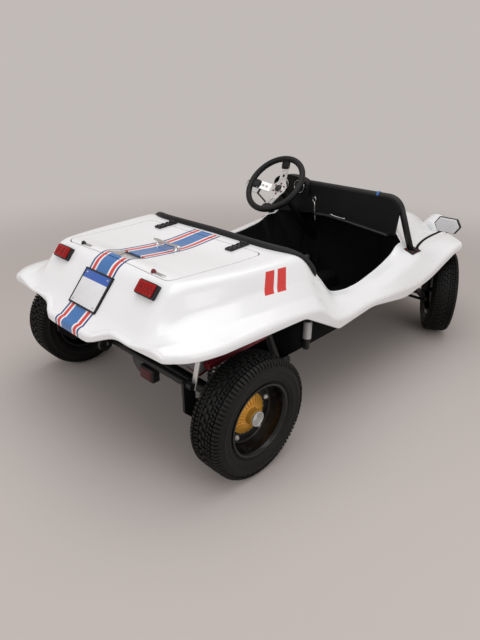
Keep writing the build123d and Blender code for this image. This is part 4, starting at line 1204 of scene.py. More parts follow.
strut_bolts = fixings("strut_bolts", bolt_spots, hex_bolt(0.006), chassis_black)

PANEL_EDGE = 0.012
PANEL_OUTLINE = [(-1.232, 0.545), (-1.000, 0.560), (-1.000, 0.470), (-1.130, 0.440)]
PANEL_SIDES = (0.515, 0.519)
panels = []
for side in (1, -1):
    points = [(x, side * y, z) for y in PANEL_SIDES for x, z in PANEL_OUTLINE]
    faces = [(0, 1, 2, 3), (4, 7, 6, 5)] + [(i, i + 4, (i + 1) % 4 + 4, (i + 1) % 4) for i in range(4)]
    panels.append(
        new_object("side_panel", outward(mesh_of("side_panel", points, faces, smooth=False)), grey_sheet)
    )
    rim_line = [Vector((x, side * PANEL_SIDES[1], z)) for x, z in PANEL_OUTLINE]
    panels.append(
        new_object("panel_edge", tube("panel_edge", rim_line, PANEL_EDGE / 2, 8, closed=True), frame_red)
    )
side_panels = joined("side_panels", panels)

fog_red = Finish("fog_red", {"Coat Weight": 0.15, "Coat Roughness": 0.2, "Specular IOR Level": 0.3})
facets = fog_red.cells(260)
fog_red.set("Base Color", fog_red.mix(facets, (0.022, 0.001, 0.002), (0.085, 0.003, 0.005)))
fog_red.set("Roughness", facets * 0.2 + 0.3)
fog_red.bump(facets, 0.4, 0.001)
moulded_black = coated("moulded_black", (0.007, 0.007, 0.0075), 0.5, grain=650, depth=0.0006, shine=0.4)
fog_case = block("fog_case", FOG_LOW, FOG_HIGH, 0.009, moulded_black)
fog_glass = block(
    "fog_glass",
    (FOG_LOW[0] - 0.004, FOG_LOW[1] + FOG_FRAME, FOG_LOW[2] + FOG_FRAME),
    (FOG_LOW[0] + FOG_FRAME, FOG_HIGH[1] - FOG_FRAME, FOG_HIGH[2] - FOG_FRAME),
    0.005, fog_red,
)
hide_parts("fog_lamp")

CANISTER_PLACE = (-0.505, 0.640, 0.395)
canister_line = [(0.05, 0), (0.05, 0.020), (0.052, 0.0225), (0.150, 0.0225), (0.156, 0.019), (0.158, 0)]
foot_line = [
    (0, 0), (0, 0.016), (0.006, 0.018), (0.046, 0.018), (0.052, 0.024), (0.060, 0.024), (0.062, 0.0228)
]
canister_parts = []
foot_parts = []
for side in (1, -1):
    place = Vector(CANISTER_PLACE) * Vector((1, side, 1))
    for line, finish, parts in (
        (canister_line, grey_sheet, canister_parts), (foot_line, moulded_black, foot_parts)
    ):
        parts.append(turned("canister", line, 40, place, (0, 0, 1), finish, 35))
    arm = block("canister_arm", (-0.014, -0.055, 0.02), (0.014, 0, 0.034), 0.003, moulded_black)
    arm.data.transform(Matrix.Translation(place) @ Matrix.Rotation(0 if side > 0 else math.pi, 4, "Z"))
    foot_parts.append(arm)
canisters = joined("canisters", canister_parts)
canister_feet = joined("canister_feet", foot_parts)
for piece, slot in (
    (springs, "black_metal"), (struts, "alloy"), (strut_bolts, "black_metal"), (side_panels, "alloy"),
    (fog_case, "black_plastic"), (fog_glass, "red_lens"), (canisters, "alloy"), (
        canister_feet, "black_plastic"
    ),
):
    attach(piece, "chassis")


# Deck fittings: black strap hinges with bolts at the front of the lid, a low bright bar handle on two
# feet, an alloy air outlet, and two quick-release pins with spring strips at the rear corners.
STRAP_RISE = 0.0104
STRAP_YS = (0.285, -0.285)
STRAP_BOLTS = (-0.648, -0.680, -0.712)
BOLT_SHIFT = 0.013
SEAT_RISE = 0.0005
STRIP_SHIFT = 0.046
HANDLE_X = -0.884
HANDLE_FOOT = 0.075
HANDLE_HALF = 0.106
HANDLE_RISE = 0.020
PIN_SPOTS = ((-1.186, -0.290), (-1.186, 0.290))


def deck_normal(x, y):
    step = 0.01
    rise = (skin_height(x + step, y) - skin_height(x - step, y)) / (2 * step)
    lean = (skin_height(x, y + step) - skin_height(x, y - step)) / (2 * step)
    return Vector((-rise, -lean, 1)).normalized()


def on_deck(x, y, lift=0.0):
    return Vector((x, y, skin_height(x, y))) + deck_normal(x, y) * lift


plated = coated("plated_steel", (0.66, 0.66, 0.65), 0.2, metallic=1.0, grain=400, depth=0.0002, fade=0.15)
brushed = Finish("brushed_alloy", {"Metallic": 0.55})
strokes = brushed.node("Mapping", {}, {"Vector": brushed.place(), "Scale": (9, 520, 9)})
lines = brushed.node("TexNoise", {}, {"Vector": strokes, "Scale": 1.0, "Detail": 4.0})
brushed.set("Base Color", brushed.mix(lines, (0.62, 0.62, 0.62), (0.80, 0.80, 0.79)))
brushed.set("Roughness", lines * 0.25 + 0.22)
brushed.bump(lines, 0.15, 0.0006)
dress(chassis_black, "lid_hinge_straps", "lid_hinge_leaves")
dress(brushed, "lid_vent_plate")
spots = [
    (on_deck(x, y + shift, STRAP_RISE), deck_normal(x, y))
    for y in STRAP_YS
    for x in STRAP_BOLTS
    for shift in (BOLT_SHIFT, -BOLT_SHIFT)
]
hinge_bolts = fixings("hinge_bolts", spots, hex_bolt(0.0042), chassis_black)
bar_ys = np.linspace(-HANDLE_HALF, HANDLE_HALF, 15)
bar_thick = [0.0045, 0.0072] + [0.0085] * 11 + [0.0072, 0.0045]
bar_line = [on_deck(HANDLE_X, y, HANDLE_RISE) for y in bar_ys]
handle_parts = [new_object("handle_bar", tube("handle_bar", bar_line, bar_thick, 16), plated)]
for side in (1, -1):
    foot = [
        (0, 0),
        (0, 0.017),
        (0.003, 0.017),
        (0.006, 0.0125),
        (0.010, 0.0095),
        (HANDLE_RISE, 0.009),
        (HANDLE_RISE, 0),
    ]
    spot = on_deck(HANDLE_X, side * HANDLE_FOOT, SEAT_RISE)
    facing = deck_normal(HANDLE_X, side * HANDLE_FOOT)
    handle_parts.append(turned("handle_foot", foot, 28, spot, facing, plated, 30))
bar_handle = joined("bar_handle", handle_parts)
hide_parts("lid_handle")
knob_red = coated("knob_red", (0.16, 0.006, 0.010), 0.35)
pins = []
strips = []
for (x, y), knob_finish in zip(PIN_SPOTS, (knob_red, moulded_black)):
    facing = deck_normal(x, y)
    knob = [
        (0, 0), (0, 0.0125), (0.003, 0.0125), (0.0045, 0.0105), (0.009, 0.0095), (0.0125, 0.007), (0.014, 0)
    ]
    pins.append(turned("pin_knob", knob, 28, on_deck(x, y, SEAT_RISE), facing, knob_finish, 35))
    strip = block("pin_strip", (-0.0075, -0.032, -0.0005), (0.0075, 0.032, 0.0026), 0.001, plated)
    upright = deck_normal(x, y - STRIP_SHIFT)
    ahead = Vector((0, 1, 0)).cross(upright).normalized()
    lie = axes(ahead, upright.cross(ahead), upright)
    strip.data.transform(Matrix.Translation(on_deck(x, y - STRIP_SHIFT, 0.0008)) @ lie)
    strips.append(strip)
pin_knobs = joined("pin_knobs", pins)
pin_strips = joined("pin_strips", strips)
for piece, slot in (
    (
        hinge_bolts, "black_metal"
    ), (bar_handle, "chrome"), (pin_knobs, "black_plastic"), (pin_strips, "chrome"),
):
    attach(piece, "lid")


# Cockpit roll: black grained vinyl stuffed with foam, on the deck's front edge and down the two
# rear corners of the cockpit, with piping along its front. Glued and stapled under the edge.
ROLL_SPOTS = [
    # place on the skin in plan, half width and height
    (-0.442, -0.617, 0.015, 0.015),
    (-0.462, -0.604, 0.020, 0.019),
    (-0.492, -0.574, 0.026, 0.022),
    (-0.526, -0.524, 0.026, 0.024),
    (-0.555, -0.456, 0.023, 0.024),
    (-0.566, -0.380, 0.021, 0.024),
    (-0.567, -0.200, 0.021, 0.024),
]
ROLL_SIDES = 20
ROLL_RINGS = 190
PIPING = 0.0034
ROLL_END = 0.024
ROLL_FOOT = 0.12
ROLL_SINK = 0.004
PUCKER_DEEP = 0.02
PUCKER_WAVES = 46
PUCKER_Y = 0.54
PUCKER_REACH = 0.06


def softened(table, rounds=3):
    # Rows of numbers cut at their corners, the ends kept
    table = np.array(table, float)
    for _ in range(rounds):
        near = table[:-1] * 0.75 + table[1:] * 0.25
        far = table[:-1] * 0.25 + table[1:] * 0.75
        table = np.vstack(
            [table[:1], np.stack([near, far], axis=1).reshape(-1, table.shape[1])[1:-1], table[-1:]]
        )
    return table


def grained(name, color, roughness, scale=420):
    # Leather or vinyl: a net of fine cells, faint creases and a worn sheen
    finish = Finish(name, {"Specular IOR Level": 0.26})
    cells = finish.cells(scale, "DISTANCE_TO_EDGE")
    creases = finish.noise(38, 6)
    worn = finish.noise(7, 4)
    finish.set(
        "Base Color", finish.mix(worn, [part * 0.75 for part in color], [part * 1.5 for part in color])
    )
    finish.set("Roughness", worn * 0.14 + creases * 0.14 + (roughness - 0.14))
    finish.bump(finish.ramp(cells, 0.0, 0.12) * 0.6 + creases * 0.4, 0.3, 0.0012)
    return finish


roll_vinyl = grained("roll_vinyl", (0.007, 0.007, 0.0075), 0.46)
whole = ROLL_SPOTS + [(row[0], -row[1], *row[2:]) for row in ROLL_SPOTS[::-1]]
table = softened(whole)
length = run_length(table[:, :2])
wanted = np.linspace(0, length[-1], ROLL_RINGS)
table = np.stack([np.interp(wanted, length, column) for column in table.T], axis=1)
roll_line = [on_deck(x, y, 0.0006) for x, y, half, rise in table]
roll_ups = np.array([deck_normal(x, y) for x, y, half, rise in table])
for _ in range(6):
    roll_ups[1:-1] = (roll_ups[:-2] + roll_ups[1:-1] + roll_ups[2:]) / 3
rings = []
piping_line = []
for index, (x, y, half, rise) in enumerate(table):
    spot = roll_line[index]
    along = (roll_line[min(index + 1, ROLL_RINGS - 1)] - roll_line[max(index - 1, 0)]).normalized()
    up = Vector(roll_ups[index])
    up = (up - along * up.dot(along)).normalized()
    across = along.cross(up)
    near_end = min(wanted[index], length[-1] - wanted[index]) / ROLL_END
    close = math.sqrt(max(1 - (1 - min(near_end, 1)) ** 2, 0.03))
    corner = math.exp(-((abs(y) - PUCKER_Y) / PUCKER_REACH) ** 2)
    pucker = 1 + PUCKER_DEEP * math.sin(wanted[index] * PUCKER_WAVES) * corner
    outline = []
    for turn in np.linspace(0, 2 * math.pi, ROLL_SIDES, endpoint=False):
        tall = math.sin(turn)
        if tall > 0:
            height = rise * (ROLL_FOOT + (1 - ROLL_FOOT) * tall**0.8) * pucker
        else:
            height = rise * ROLL_FOOT * (1 + tall) - ROLL_SINK
        outline.append(
            spot + across * half * close * math.cos(turn) * (1 - 0.06 * abs(tall)) + up * height * close
        )
    rings.append(outline)
    piping_line.append(spot - across * half * close * 0.99 + up * rise * 0.13 * close)
points = [point for outline in rings for point in outline]
faces = grid_faces(len(rings), ROLL_SIDES, wrap_columns=True)
faces += [tuple(range(ROLL_SIDES)), tuple(range(len(points) - ROLL_SIDES, len(points)))[::-1]]
roll = new_object("padded_roll", outward(mesh_of("padded_roll", points, faces)), roll_vinyl)
piping = new_object("roll_piping", tube("roll_piping", piping_line, PIPING, 8), roll_vinyl)
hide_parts("cockpit_roll")
for piece in (roll, piping):
    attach(piece, "chassis")

# Seats: two low buckets of black vinyl over foam, each a cushion and a back with sewn channels,
# set straight on the floor pan.
SEAT_YS = (0.280, -0.280)
PADS = [
    # middle in x and z, lean, half length, half width, half thickness, crown and number of channels
    (-0.062, 0.324, math.radians(-4.4), 0.196, 0.168, 0.030, 0.012, 4),
    (-0.392, 0.555, math.radians(71.5), 0.246, 0.168, 0.050, 0.016, 5),
]
PAD_CUTS = 22
PAD_POWER = 5
SEAM_HALF = 0.006
SEAM_DEEP = 0.006
SEAM_REACH = 0.62
SEAM_EDGE = 0.86


def pillow(name, length, width, thick, crown, channels, finish):
    # A stuffed pad: a rounded box whose face swells, whose sides pull in and whose seams sink
    body = bmesh.new()
    bmesh.ops.create_cube(body, size=2)
    bmesh.ops.subdivide_edges(body, edges=body.edges[:], cuts=PAD_CUTS, use_grid_fill=True)
    for vert in body.verts:
        norm = sum(abs(part) ** PAD_POWER for part in vert.co) ** (1 / PAD_POWER)
        u, v, w = vert.co / norm
        pull = 1 - 0.05 * (1 - u * u) * abs(v) ** 3
        swell = crown * (1 - u * u) * (1 - v * v)
        sink = sum(
            math.exp(-(((v - line) * width / SEAM_HALF) ** 2))
            for line in np.linspace(-SEAM_REACH, SEAM_REACH, channels)
        )
        edge = math.exp(-(((max(abs(u), abs(v)) - SEAM_EDGE) * width / SEAM_HALF) ** 2))
        face = max(w, 0) ** 2
        lift = face * (swell - SEAM_DEEP * max(sink * (1 - u**6), edge))
        vert.co = (u * length, v * width * pull, w * thick + lift)
    mesh = mesh_from(name, body)
    mesh.polygons.foreach_set("use_smooth", [True] * len(mesh.polygons))
    return new_object(name, mesh, finish)


seat_vinyl = grained("seat_vinyl", (0.018, 0.018, 0.019), 0.5, 360)
pads = []
for y in SEAT_YS:
    for x, z, lean, length, width, thick, crown, channels in PADS:
        pad = pillow("seat_pad", length, width, thick, crown, channels, seat_vinyl)
        pad.data.transform(Matrix.Translation((x, y, z)) @ Matrix.Rotation(lean, 4, "Y"))
        pads.append(pad)
seat_pads = joined("seat_pads", pads)
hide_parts("seats")
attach(seat_pads, "chassis")

# Dash: a steel panel in crackle-black with a rubber-edged shelf, under a hoop of black
# tube on two thin foot plates bolted to the body. A bright rod lies on the shelf and a blue tie is
# wrapped round the hoop.
HOOP_X = 0.595
HOOP_TUBE = 0.0205
HOOP_LINE = [(-0.606, 0.668, 0), (-0.472, 0.991, 0.115), (0.472, 0.991, 0.115), (0.606, 0.668, 0)]
DASH_FACE = 0.5556
DASH_REAR = 0.5746
DASH_LOW = 0.762
SHELF_ARCH = 0.050
SHELF_ENDS = (-0.470, 0.105)
SHELF_EDGE = 0.5006
SHELF_ROUND = 0.05
SHELF_REACH = 0.5
SHELF_STEPS = 24
SHELF_THICK = 0.012
SHELF_ROD = (-0.15, -0.03)
SHELF_ROD_LOW = -0.09
SHELF_ROD_BEND = 1.2
TIE_Y = -0.325
PLATE_SPOT = (0.603, 0.606)
PLATE_HALVES = (0.054, 0.036)
PLATE_THICK = 0.006
PLATE_BOLTS = ((-0.040, -0.022), (-0.040, 0.022), (0.012, 0.024))
crackle = Finish("crackle_black", {"Specular IOR Level": 0.2})
wrinkles = crackle.cells(330, "DISTANCE_TO_EDGE")
crackle.set("Base Color", crackle.mix(crackle.noise(6, 4), (0.003, 0.003, 0.0033), (0.007, 0.007, 0.0073)))
crackle.set("Roughness", crackle.noise(18, 3) * 0.15 + 0.46)
crackle.bump(crackle.ramp(wrinkles, 0, 0.25), 0.4, 0.0012)
dress(chassis_black, "steering_column", "gear_lever", "handbrake", "pedals")
hoop_path = rounded_path(HOOP_LINE, 16)
bent_tube = tube("hoop_tube", [(HOOP_X, y, z) for y, z in hoop_path], HOOP_TUBE, 24)
hoop_parts = [new_object("hoop_tube", bent_tube, chassis_black)]
foot_spots = []
plate_places = {}
for side in (1, -1):
    upright = deck_normal(PLATE_SPOT[0], side * PLATE_SPOT[1])
    beside = upright.cross(Vector((1, 0, 0))).normalized()
    lie = axes(beside.cross(upright), beside, upright)
    place = Matrix.Translation(on_deck(PLATE_SPOT[0], side * PLATE_SPOT[1])) @ lie
    low = (-PLATE_HALVES[0], -PLATE_HALVES[1], -0.012)
    foot = block("foot_plate", low, (*PLATE_HALVES, PLATE_THICK), 0.002, chassis_black)
    foot.data.transform(place)
    hoop_parts.append(foot)
    plate_places[side] = place
    foot_spots += [(place @ Vector((x, side * y, PLATE_THICK)), upright) for x, y in PLATE_BOLTS]
hoop = joined("hoop_tube", hoop_parts)
bolt_red = coated("bolt_red", (0.14, 0.006, 0.012), 0.35, metallic=0.4)
foot_bolts = fixings("foot_bolts", foot_spots, hex_bolt(0.0055), bolt_red)


def shelf_height(y):
    # The arched lower edge of the dash
    return DASH_LOW + SHELF_ARCH * (1 - math.hypot(y, SHELF_ROUND) / SHELF_REACH)


outline = [(y, z) for y, z in hoop_path if z > DASH_LOW + 0.03]
foot_ys = np.linspace(outline[-1][0] - 0.010, outline[0][0] + 0.010, 25)
outline = outline + [(y, shelf_height(y)) for y in foot_ys]
count = len(outline)
points = [(x, y, z) for x in (DASH_FACE, DASH_REAR) for y, z in outline]
faces = [tuple(range(count)), tuple(range(count, 2 * count))]
faces += [(i, (i + 1) % count, (i + 1) % count + count, i + count) for i in range(count)]
sheet = new_object("dash_sheet", outward(mesh_of("dash_sheet", points, faces, smooth=False)), crackle)
shelf_ys = np.linspace(*SHELF_ENDS, SHELF_STEPS)
shelf_root = DASH_FACE + 0.004
shelf_section = ((SHELF_EDGE, 0), (shelf_root, 0), (shelf_root, SHELF_THICK), (SHELF_EDGE, SHELF_THICK))
points = [(x, y, shelf_height(y) + rise) for y in shelf_ys for x, rise in shelf_section]
count = len(shelf_section)
faces = grid_faces(SHELF_STEPS, count, wrap_columns=True)
faces += [tuple(range(count)), tuple(range(len(points) - count, len(points)))]
shelf = new_object("dash_shelf", outward(mesh_of("dash_shelf", points, faces, smooth=False)), crackle)
dash = joined("dash_sheet", [sheet, shelf])
crease(dash.data, 40)
strip_line = [(SHELF_EDGE, y, shelf_height(y) + 0.006) for y in shelf_ys]
strip = new_object("shelf_strip", tube("shelf_strip", strip_line, 0.0088, 12), moulded_black)
rod_line = []
for y in np.linspace(*SHELF_ROD, 14):
    bend = SHELF_ROD_BEND * (y - SHELF_ROD_LOW) ** 2
    rod_line.append((SHELF_EDGE - 0.004, y, shelf_height(y) + 0.018 + bend))
shelf_rod = new_object("shelf_rod", tube("shelf_rod", rod_line, 0.0032, 10), plated)
tie_blue = coated("tie_blue", (0.02, 0.13, 0.42), 0.4, grain=300)
band = [
    (-0.008, HOOP_TUBE - 0.001),
    (-0.008, HOOP_TUBE + 0.0034),
    (0.008, HOOP_TUBE + 0.0034),
    (0.008, HOOP_TUBE - 0.001),
]
tie = turned("hoop_tie", band, 40, (HOOP_X, TIE_Y, HOOP_LINE[1][1]), (0, 1, 0), tie_blue, 30, closed=True)
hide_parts("dash_hoop")
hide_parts("dash_panel")
for piece, slot in (
    (hoop, "black_metal"), (dash, "black_metal"), (strip, "black_plastic"), (shelf_rod, "chrome"),
    (tie, "black_plastic"), (foot_bolts, "red_metal"),
):
    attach(piece, "chassis")

# Instrument pod: a moulded hood on the dash behind the steering wheel, with two dark round dials
# in bright rims. Screwed to the panel.
POD_MIDDLE = (0.352, 0.945)
POD_HALF = 0.158
POD_RISE = 0.094
POD_FACE = 0.522
POD_REAR = 0.612
DIAL_SHIFT = 0.072
DIAL_RADIUS = 0.046
turns = np.linspace(0, math.pi, 25)
hood = [
    (POD_MIDDLE[0] + POD_HALF * math.cos(turn), POD_MIDDLE[1] + POD_RISE * math.sin(turn) ** 0.7)
    for turn in turns
]
hood = [(hood[0][0], POD_MIDDLE[1] - 0.03), *hood, (hood[-1][0], POD_MIDDLE[1] - 0.03)]
points = []
for x, scale in (
    (POD_FACE + 0.014, 0.90), (POD_FACE, 0.93), (POD_FACE, 1.0), (POD_REAR - 0.02, 0.98), (POD_REAR, 0.90)
):
    points += [
        (x, POD_MIDDLE[0] + (y - POD_MIDDLE[0]) * scale, POD_MIDDLE[1] + (z - POD_MIDDLE[1]) * scale)
        for y, z in hood
    ]
count = len(hood)
faces = grid_faces(5, count, wrap_columns=True) + [tuple(range(count)), tuple(range(4 * count, 5 * count))]
pod = new_object("instrument_pod", outward(mesh_of("instrument_pod", points, faces)), crackle)
crease(pod.data, 35)
dial_face = coated("dial_face", (0.004, 0.004, 0.005), 0.3, grain=500)
rims = []
dials = []
for shift in (-DIAL_SHIFT, DIAL_SHIFT):
    spot = (POD_FACE + 0.0145, POD_MIDDLE[0] + shift, POD_MIDDLE[1] + 0.022)
    rim_line = [
        (0, DIAL_RADIUS - 0.006),
        (0.006, DIAL_RADIUS - 0.005),
        (0.008, DIAL_RADIUS - 0.002),
        (0.006, DIAL_RADIUS),
        (0, DIAL_RADIUS),
    ]
    dial_line = [
        (0, DIAL_RADIUS - 0.005), (0.003, DIAL_RADIUS - 0.005), (0.0042, DIAL_RADIUS * 0.5), (0.0046, 0)
    ]
    rims.append(turned("dial_rim", rim_line, 48, spot, (-1, 0, 0), plated, closed=True))
    dials.append(turned("dial", dial_line, 48, spot, (-1, 0, 0), dial_face))
dial_rims = joined("dial_rims", rims)
dial_glasses = joined("dial_glasses", dials)
for piece, slot in ((pod, "black_plastic"), (dial_rims, "chrome"), (dial_glasses, "black_plastic")):
    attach(piece, "chassis")

# Key ring: a rod and a ring of plated steel wire. They hang from a small hook on the dash, beside
# the steering column.
ROD_TOP = (0.549, 0.150, 0.900)
ROD_LOW = (0.549, 0.130, 0.735)
rod = tube(
    "hanging_rod",
    [Vector(ROD_TOP).lerp(Vector(ROD_LOW), share) for share in np.linspace(0.14, 1, 8)],
    0.0035,
    10,
)
turns = np.linspace(0, 2 * math.pi, 32, endpoint=False)
loop = [
    Vector(ROD_TOP) + Vector((0, 0.013 * math.sin(turn), 0.016 * math.cos(turn) - 0.008)) for turn in turns
]
hook_line = [(0, 0), (0, 0.007), (0.006, 0.006), (0.008, 0)]
hook_spot = (0.556, ROD_TOP[1], ROD_TOP[2] + 0.006)
parts = [
    new_object("hanging_rod", rod, plated),
    new_object("rod_ring", tube("rod_ring", loop, 0.0028, 8, closed=True), plated),
    turned("rod_hook", hook_line, 20, hook_spot, (-1, 0, 0), plated),
]
hanging = joined("hanging_rod", parts)
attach(hanging, "chassis")

# Steering wheel: a steel core wrapped in stitched black leather, on a polished alloy plate of
# three drilled spokes whose roots are padded too, bolted round a hub with a black cap.
WHEEL_PLACE = (0.288, 0.300, 1.012)
WHEEL_RAKE = math.radians(42.7)
GRIP_RADIUS = 0.204
GRIP_TUBE = 0.0200
SPOKE_TURNS = (95, 5, -85)
DISH = 0.058
HUB_FLAT = 0.076
SPOKE_HALF = 0.029
ROOT_PLACE = 0.170
PLATE_BASE = 0.060
SPOKE_HOLES = (0.098, 0.122, 0.144)
HOLE_RADIUS = 0.0095
DRILL_RUN = (-0.1, 0.03)
ROOT_PAD = (0.033, 0.0335, 0.0085, 0.001)
PLATE_TURNS = 240
PLATE_RINGS = 12
HUB_BORE = 0.022
HUB_SEAT = 0.002 - DISH
STITCHES = 132
SPOKE_SLOPE = math.atan2(DISH, GRIP_RADIUS - HUB_FLAT)
sine, cosine = math.sin(WHEEL_RAKE), math.cos(WHEEL_RAKE)
wheel_frame = Matrix.Translation(WHEEL_PLACE) @ axes((0, 1, 0), (-cosine, 0, sine), (sine, 0, cosine))
hide = grained("grip_leather", (0.005, 0.005, 0.0053), 0.44, 620)
thread = coated("grip_thread", (0.05, 0.05, 0.052), 0.7, grain=900)
polished = coated(
    "polished_alloy", (0.66, 0.66, 0.655), 0.30, metallic=0.7, grain=300, depth=0.0002, fade=0.1
)
circle = []
for turn in np.linspace(0, 2 * math.pi, 20, endpoint=False):
    dent = 0.0012 * math.exp(-(((turn - math.pi) / 0.12) ** 2))
    circle.append(((GRIP_TUBE - dent) * math.sin(turn), GRIP_RADIUS + (GRIP_TUBE - dent) * math.cos(turn)))
grip = new_object("leather_grip", outward(spun("leather_grip", circle, 128, closed=True)), hide)
stitch_path = [
    Vector((0.0016 * share, 0.0045 * share, GRIP_RADIUS - GRIP_TUBE + 0.0002))
    for share in (-1, -0.5, 0, 0.5, 1)
]
stitches = ring("grip_stitches", tube("stitch", stitch_path, 0.0009, 6), STITCHES, thread)


def plate_edge(turn):
    # The spoke plate's reach at an angle: a round middle that runs out into three straight spokes
    reach = PLATE_BASE
    for spoke in SPOKE_TURNS:
        off = math.remainder(turn - math.radians(spoke), 2 * math.pi)
        if abs(off) < math.pi / 2:
            spoke_reach = min(GRIP_RADIUS / math.cos(off), SPOKE_HALF / max(abs(math.sin(off)), 1e-6))
            reach = (reach**6 + spoke_reach**6) ** (1 / 6)
    return min(reach, GRIP_RADIUS - 0.004)


points = []
for turn in np.linspace(0, 2 * math.pi, PLATE_TURNS, endpoint=False):
    for radius in np.linspace(HUB_BORE, plate_edge(turn), PLATE_RINGS):
        bent = -DISH + DISH * max(radius - HUB_FLAT, 0) / (GRIP_RADIUS - HUB_FLAT)
        points.append((radius * math.cos(turn), bent, -radius * math.sin(turn)))
faces = grid_faces(PLATE_TURNS, PLATE_RINGS, wrap_rows=True)
plate = new_object("spoke_plate", mesh_of("spoke_plate", points, faces), polished)
thick = plate.modifiers.new("thick", "SOLIDIFY")
thick.thickness = 0.004
thick.offset = 0
settle(plate)
outward(plate.data)
drills = []
for turn in SPOKE_TURNS:
    for radius in SPOKE_HOLES:
        low, high = DRILL_RUN
        drill = spun("drill", [(low, 0), (low, HOLE_RADIUS), (high, HOLE_RADIUS), (high, 0)], 20)
        angle = math.radians(turn)
        drill.transform(Matrix.Translation((radius * math.cos(angle), 0, -radius * math.sin(angle))))
        drills.append(new_object("drill", outward(drill)))
drill = joined("drill", drills)
cut(plate, "DIFFERENCE", drill)
bpy.data.objects.remove(drill)
crease(plate.data, 32)
roots = []
for turn in SPOKE_TURNS:
    angle = math.radians(turn)
    root = pillow("spoke_root", *ROOT_PAD, 0, hide)
    out = Vector((math.cos(angle), 0, -math.sin(angle)))
    rise = Vector((0, 1, 0))
    along = out * math.cos(SPOKE_SLOPE) + rise * math.sin(SPOKE_SLOPE)
    beside = rise.cross(out)
    upward = along.cross(beside)
    place = axes(along, beside, upward)
    spot = out * ROOT_PLACE + rise * (-DISH + (ROOT_PLACE - HUB_FLAT) * math.tan(SPOKE_SLOPE))
    root.data.transform(Matrix.Translation(spot) @ place)
    roots.append(root)
spoke_roots = joined("spoke_roots", roots)
hub_bolt = hex_bolt(0.0046)
hub_bolt.transform(Matrix.Translation((0, HUB_SEAT, 0.041)))
hub_bolts = ring("hub_bolts", hub_bolt, 6, bolt_red)
ring_line = [(-0.001, 0.026), (-0.001, 0.032), (0.003, 0.032), (0.005, 0.030), (0.005, 0.026)]
cap_line = [(0, 0.0265), (0.004, 0.0265), (0.010, 0.022), (0.013, 0.012), (0.0135, 0)]
hub_ring = new_object("hub_ring", outward(spun("hub_ring", ring_line, 48, closed=True)), plated)
hub_cap = new_object("hub_cap", outward(spun("hub_cap", cap_line, 48)), moulded_black)
for piece in (hub_ring, hub_cap):
    piece.data.transform(Matrix.Translation((0, HUB_SEAT, 0)))
    crease(piece.data, 35)
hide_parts("steering_spokes")
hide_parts("steering_rim")
for piece, slot in (
    (grip, "black_pad"), (stitches, "black_pad"), (spoke_roots, "black_pad"), (hub_bolts, "red_metal"),
    (hub_ring, "chrome"), (hub_cap, "black_plastic"), (plate, "alloy"),
):
    piece.data.transform(wheel_frame)
    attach(piece, "steering_wheel")


# Mirrors: six-sided black plastic heads on tapered arms that stand on the hoop's foot plates, with
# a pale silvered glass in each frame.
HEAD_PLACE = (0.605, 0.798, 0.883)
HEAD_HALF = (0.083, 0.044)
HEAD_DEPTH = 0.026
HEX = ((-1, 0), (-2 / 3, -1), (2 / 3, -1), (1, 0), (2 / 3, 1), (-2 / 3, 1))
GLASS_TILT = math.radians(6)
GLASS_PROUD = 0.004
HEAD_ROUND = 0.004
ARM_ENDS = (0.0095, 0.0062)
HEX_FACES = grid_faces(3, 6, wrap_columns=True) + [tuple(range(6)), tuple(range(12, 18))]
silvered = Finish("silvered_glass", {"Metallic": 0.35})
smear = silvered.noise(14, 4)
silvered.set("Base Color", silvered.mix(smear, (0.72, 0.73, 0.75), (0.79, 0.80, 0.82)))
silvered.set("Roughness", smear * 0.08 + 0.16)
mirror_parts = []
glass_parts = []
for side in (1, -1):
    centre = Vector(HEAD_PLACE) * Vector((1, side, 1))
    points = []
    for depth, scale in ((0.0, 1.0), (0.6, 1.0), (1.0, 0.86)):
        points += [
            centre + Vector((depth * HEAD_DEPTH, u * HEAD_HALF[0] * scale, v * HEAD_HALF[1] * scale))
            for u, v in HEX
        ]
    head = new_object("mirror_head", outward(mesh_of("mirror_head", points, HEX_FACES)), moulded_black)
    rounded_edges(head, HEAD_ROUND)
    rise = Vector((math.sin(GLASS_TILT), 0, math.cos(GLASS_TILT)))
    points = []
    for depth, scale in ((0.008, 0.90), (-0.0006, 0.90), (-0.0016, 0.86)):
        middle = centre + Vector((depth - GLASS_PROUD, 0, 0))
        points += [
            middle + Vector((0, u * HEAD_HALF[0] * scale, 0)) + rise * v * HEAD_HALF[1] * scale
            for u, v in HEX
        ]
    face = outward(mesh_of("mirror_face", points, HEX_FACES, smooth=False))
    glass_parts.append(new_object("mirror_face", face, silvered))
    stand = plate_places[side] @ Vector((0.026, side * 0.016, PLATE_THICK))
    line = [
        stand,
        stand + Vector((0, 0, 0.026)),
        Vector((0.630, side * 0.665, 0.770)),
        Vector((0.620, side * 0.780, 0.850)),
    ]
    arm_path = softened(line, 3)
    arm_thick = np.linspace(*ARM_ENDS, len(arm_path))
    arm = new_object("mirror_arm", tube("mirror_arm", arm_path, arm_thick, 12), moulded_black)
    foot_line = [(0, 0), (0, 0.016), (0.004, 0.016), (0.010, 0.011), (0.010, 0)]
    mirror_parts += [head, arm, turned("mirror_foot", foot_line, 24, stand, (0, 0, 1), moulded_black, 30)]
mirror_shells = joined("mirror_shells", mirror_parts)
mirror_faces = joined("mirror_faces", glass_parts)
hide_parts("mirrors")
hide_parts("mirror_glasses")
for piece, slot in ((mirror_shells, "black_plastic"), (mirror_faces, "mirror")):
    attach(piece, "chassis")

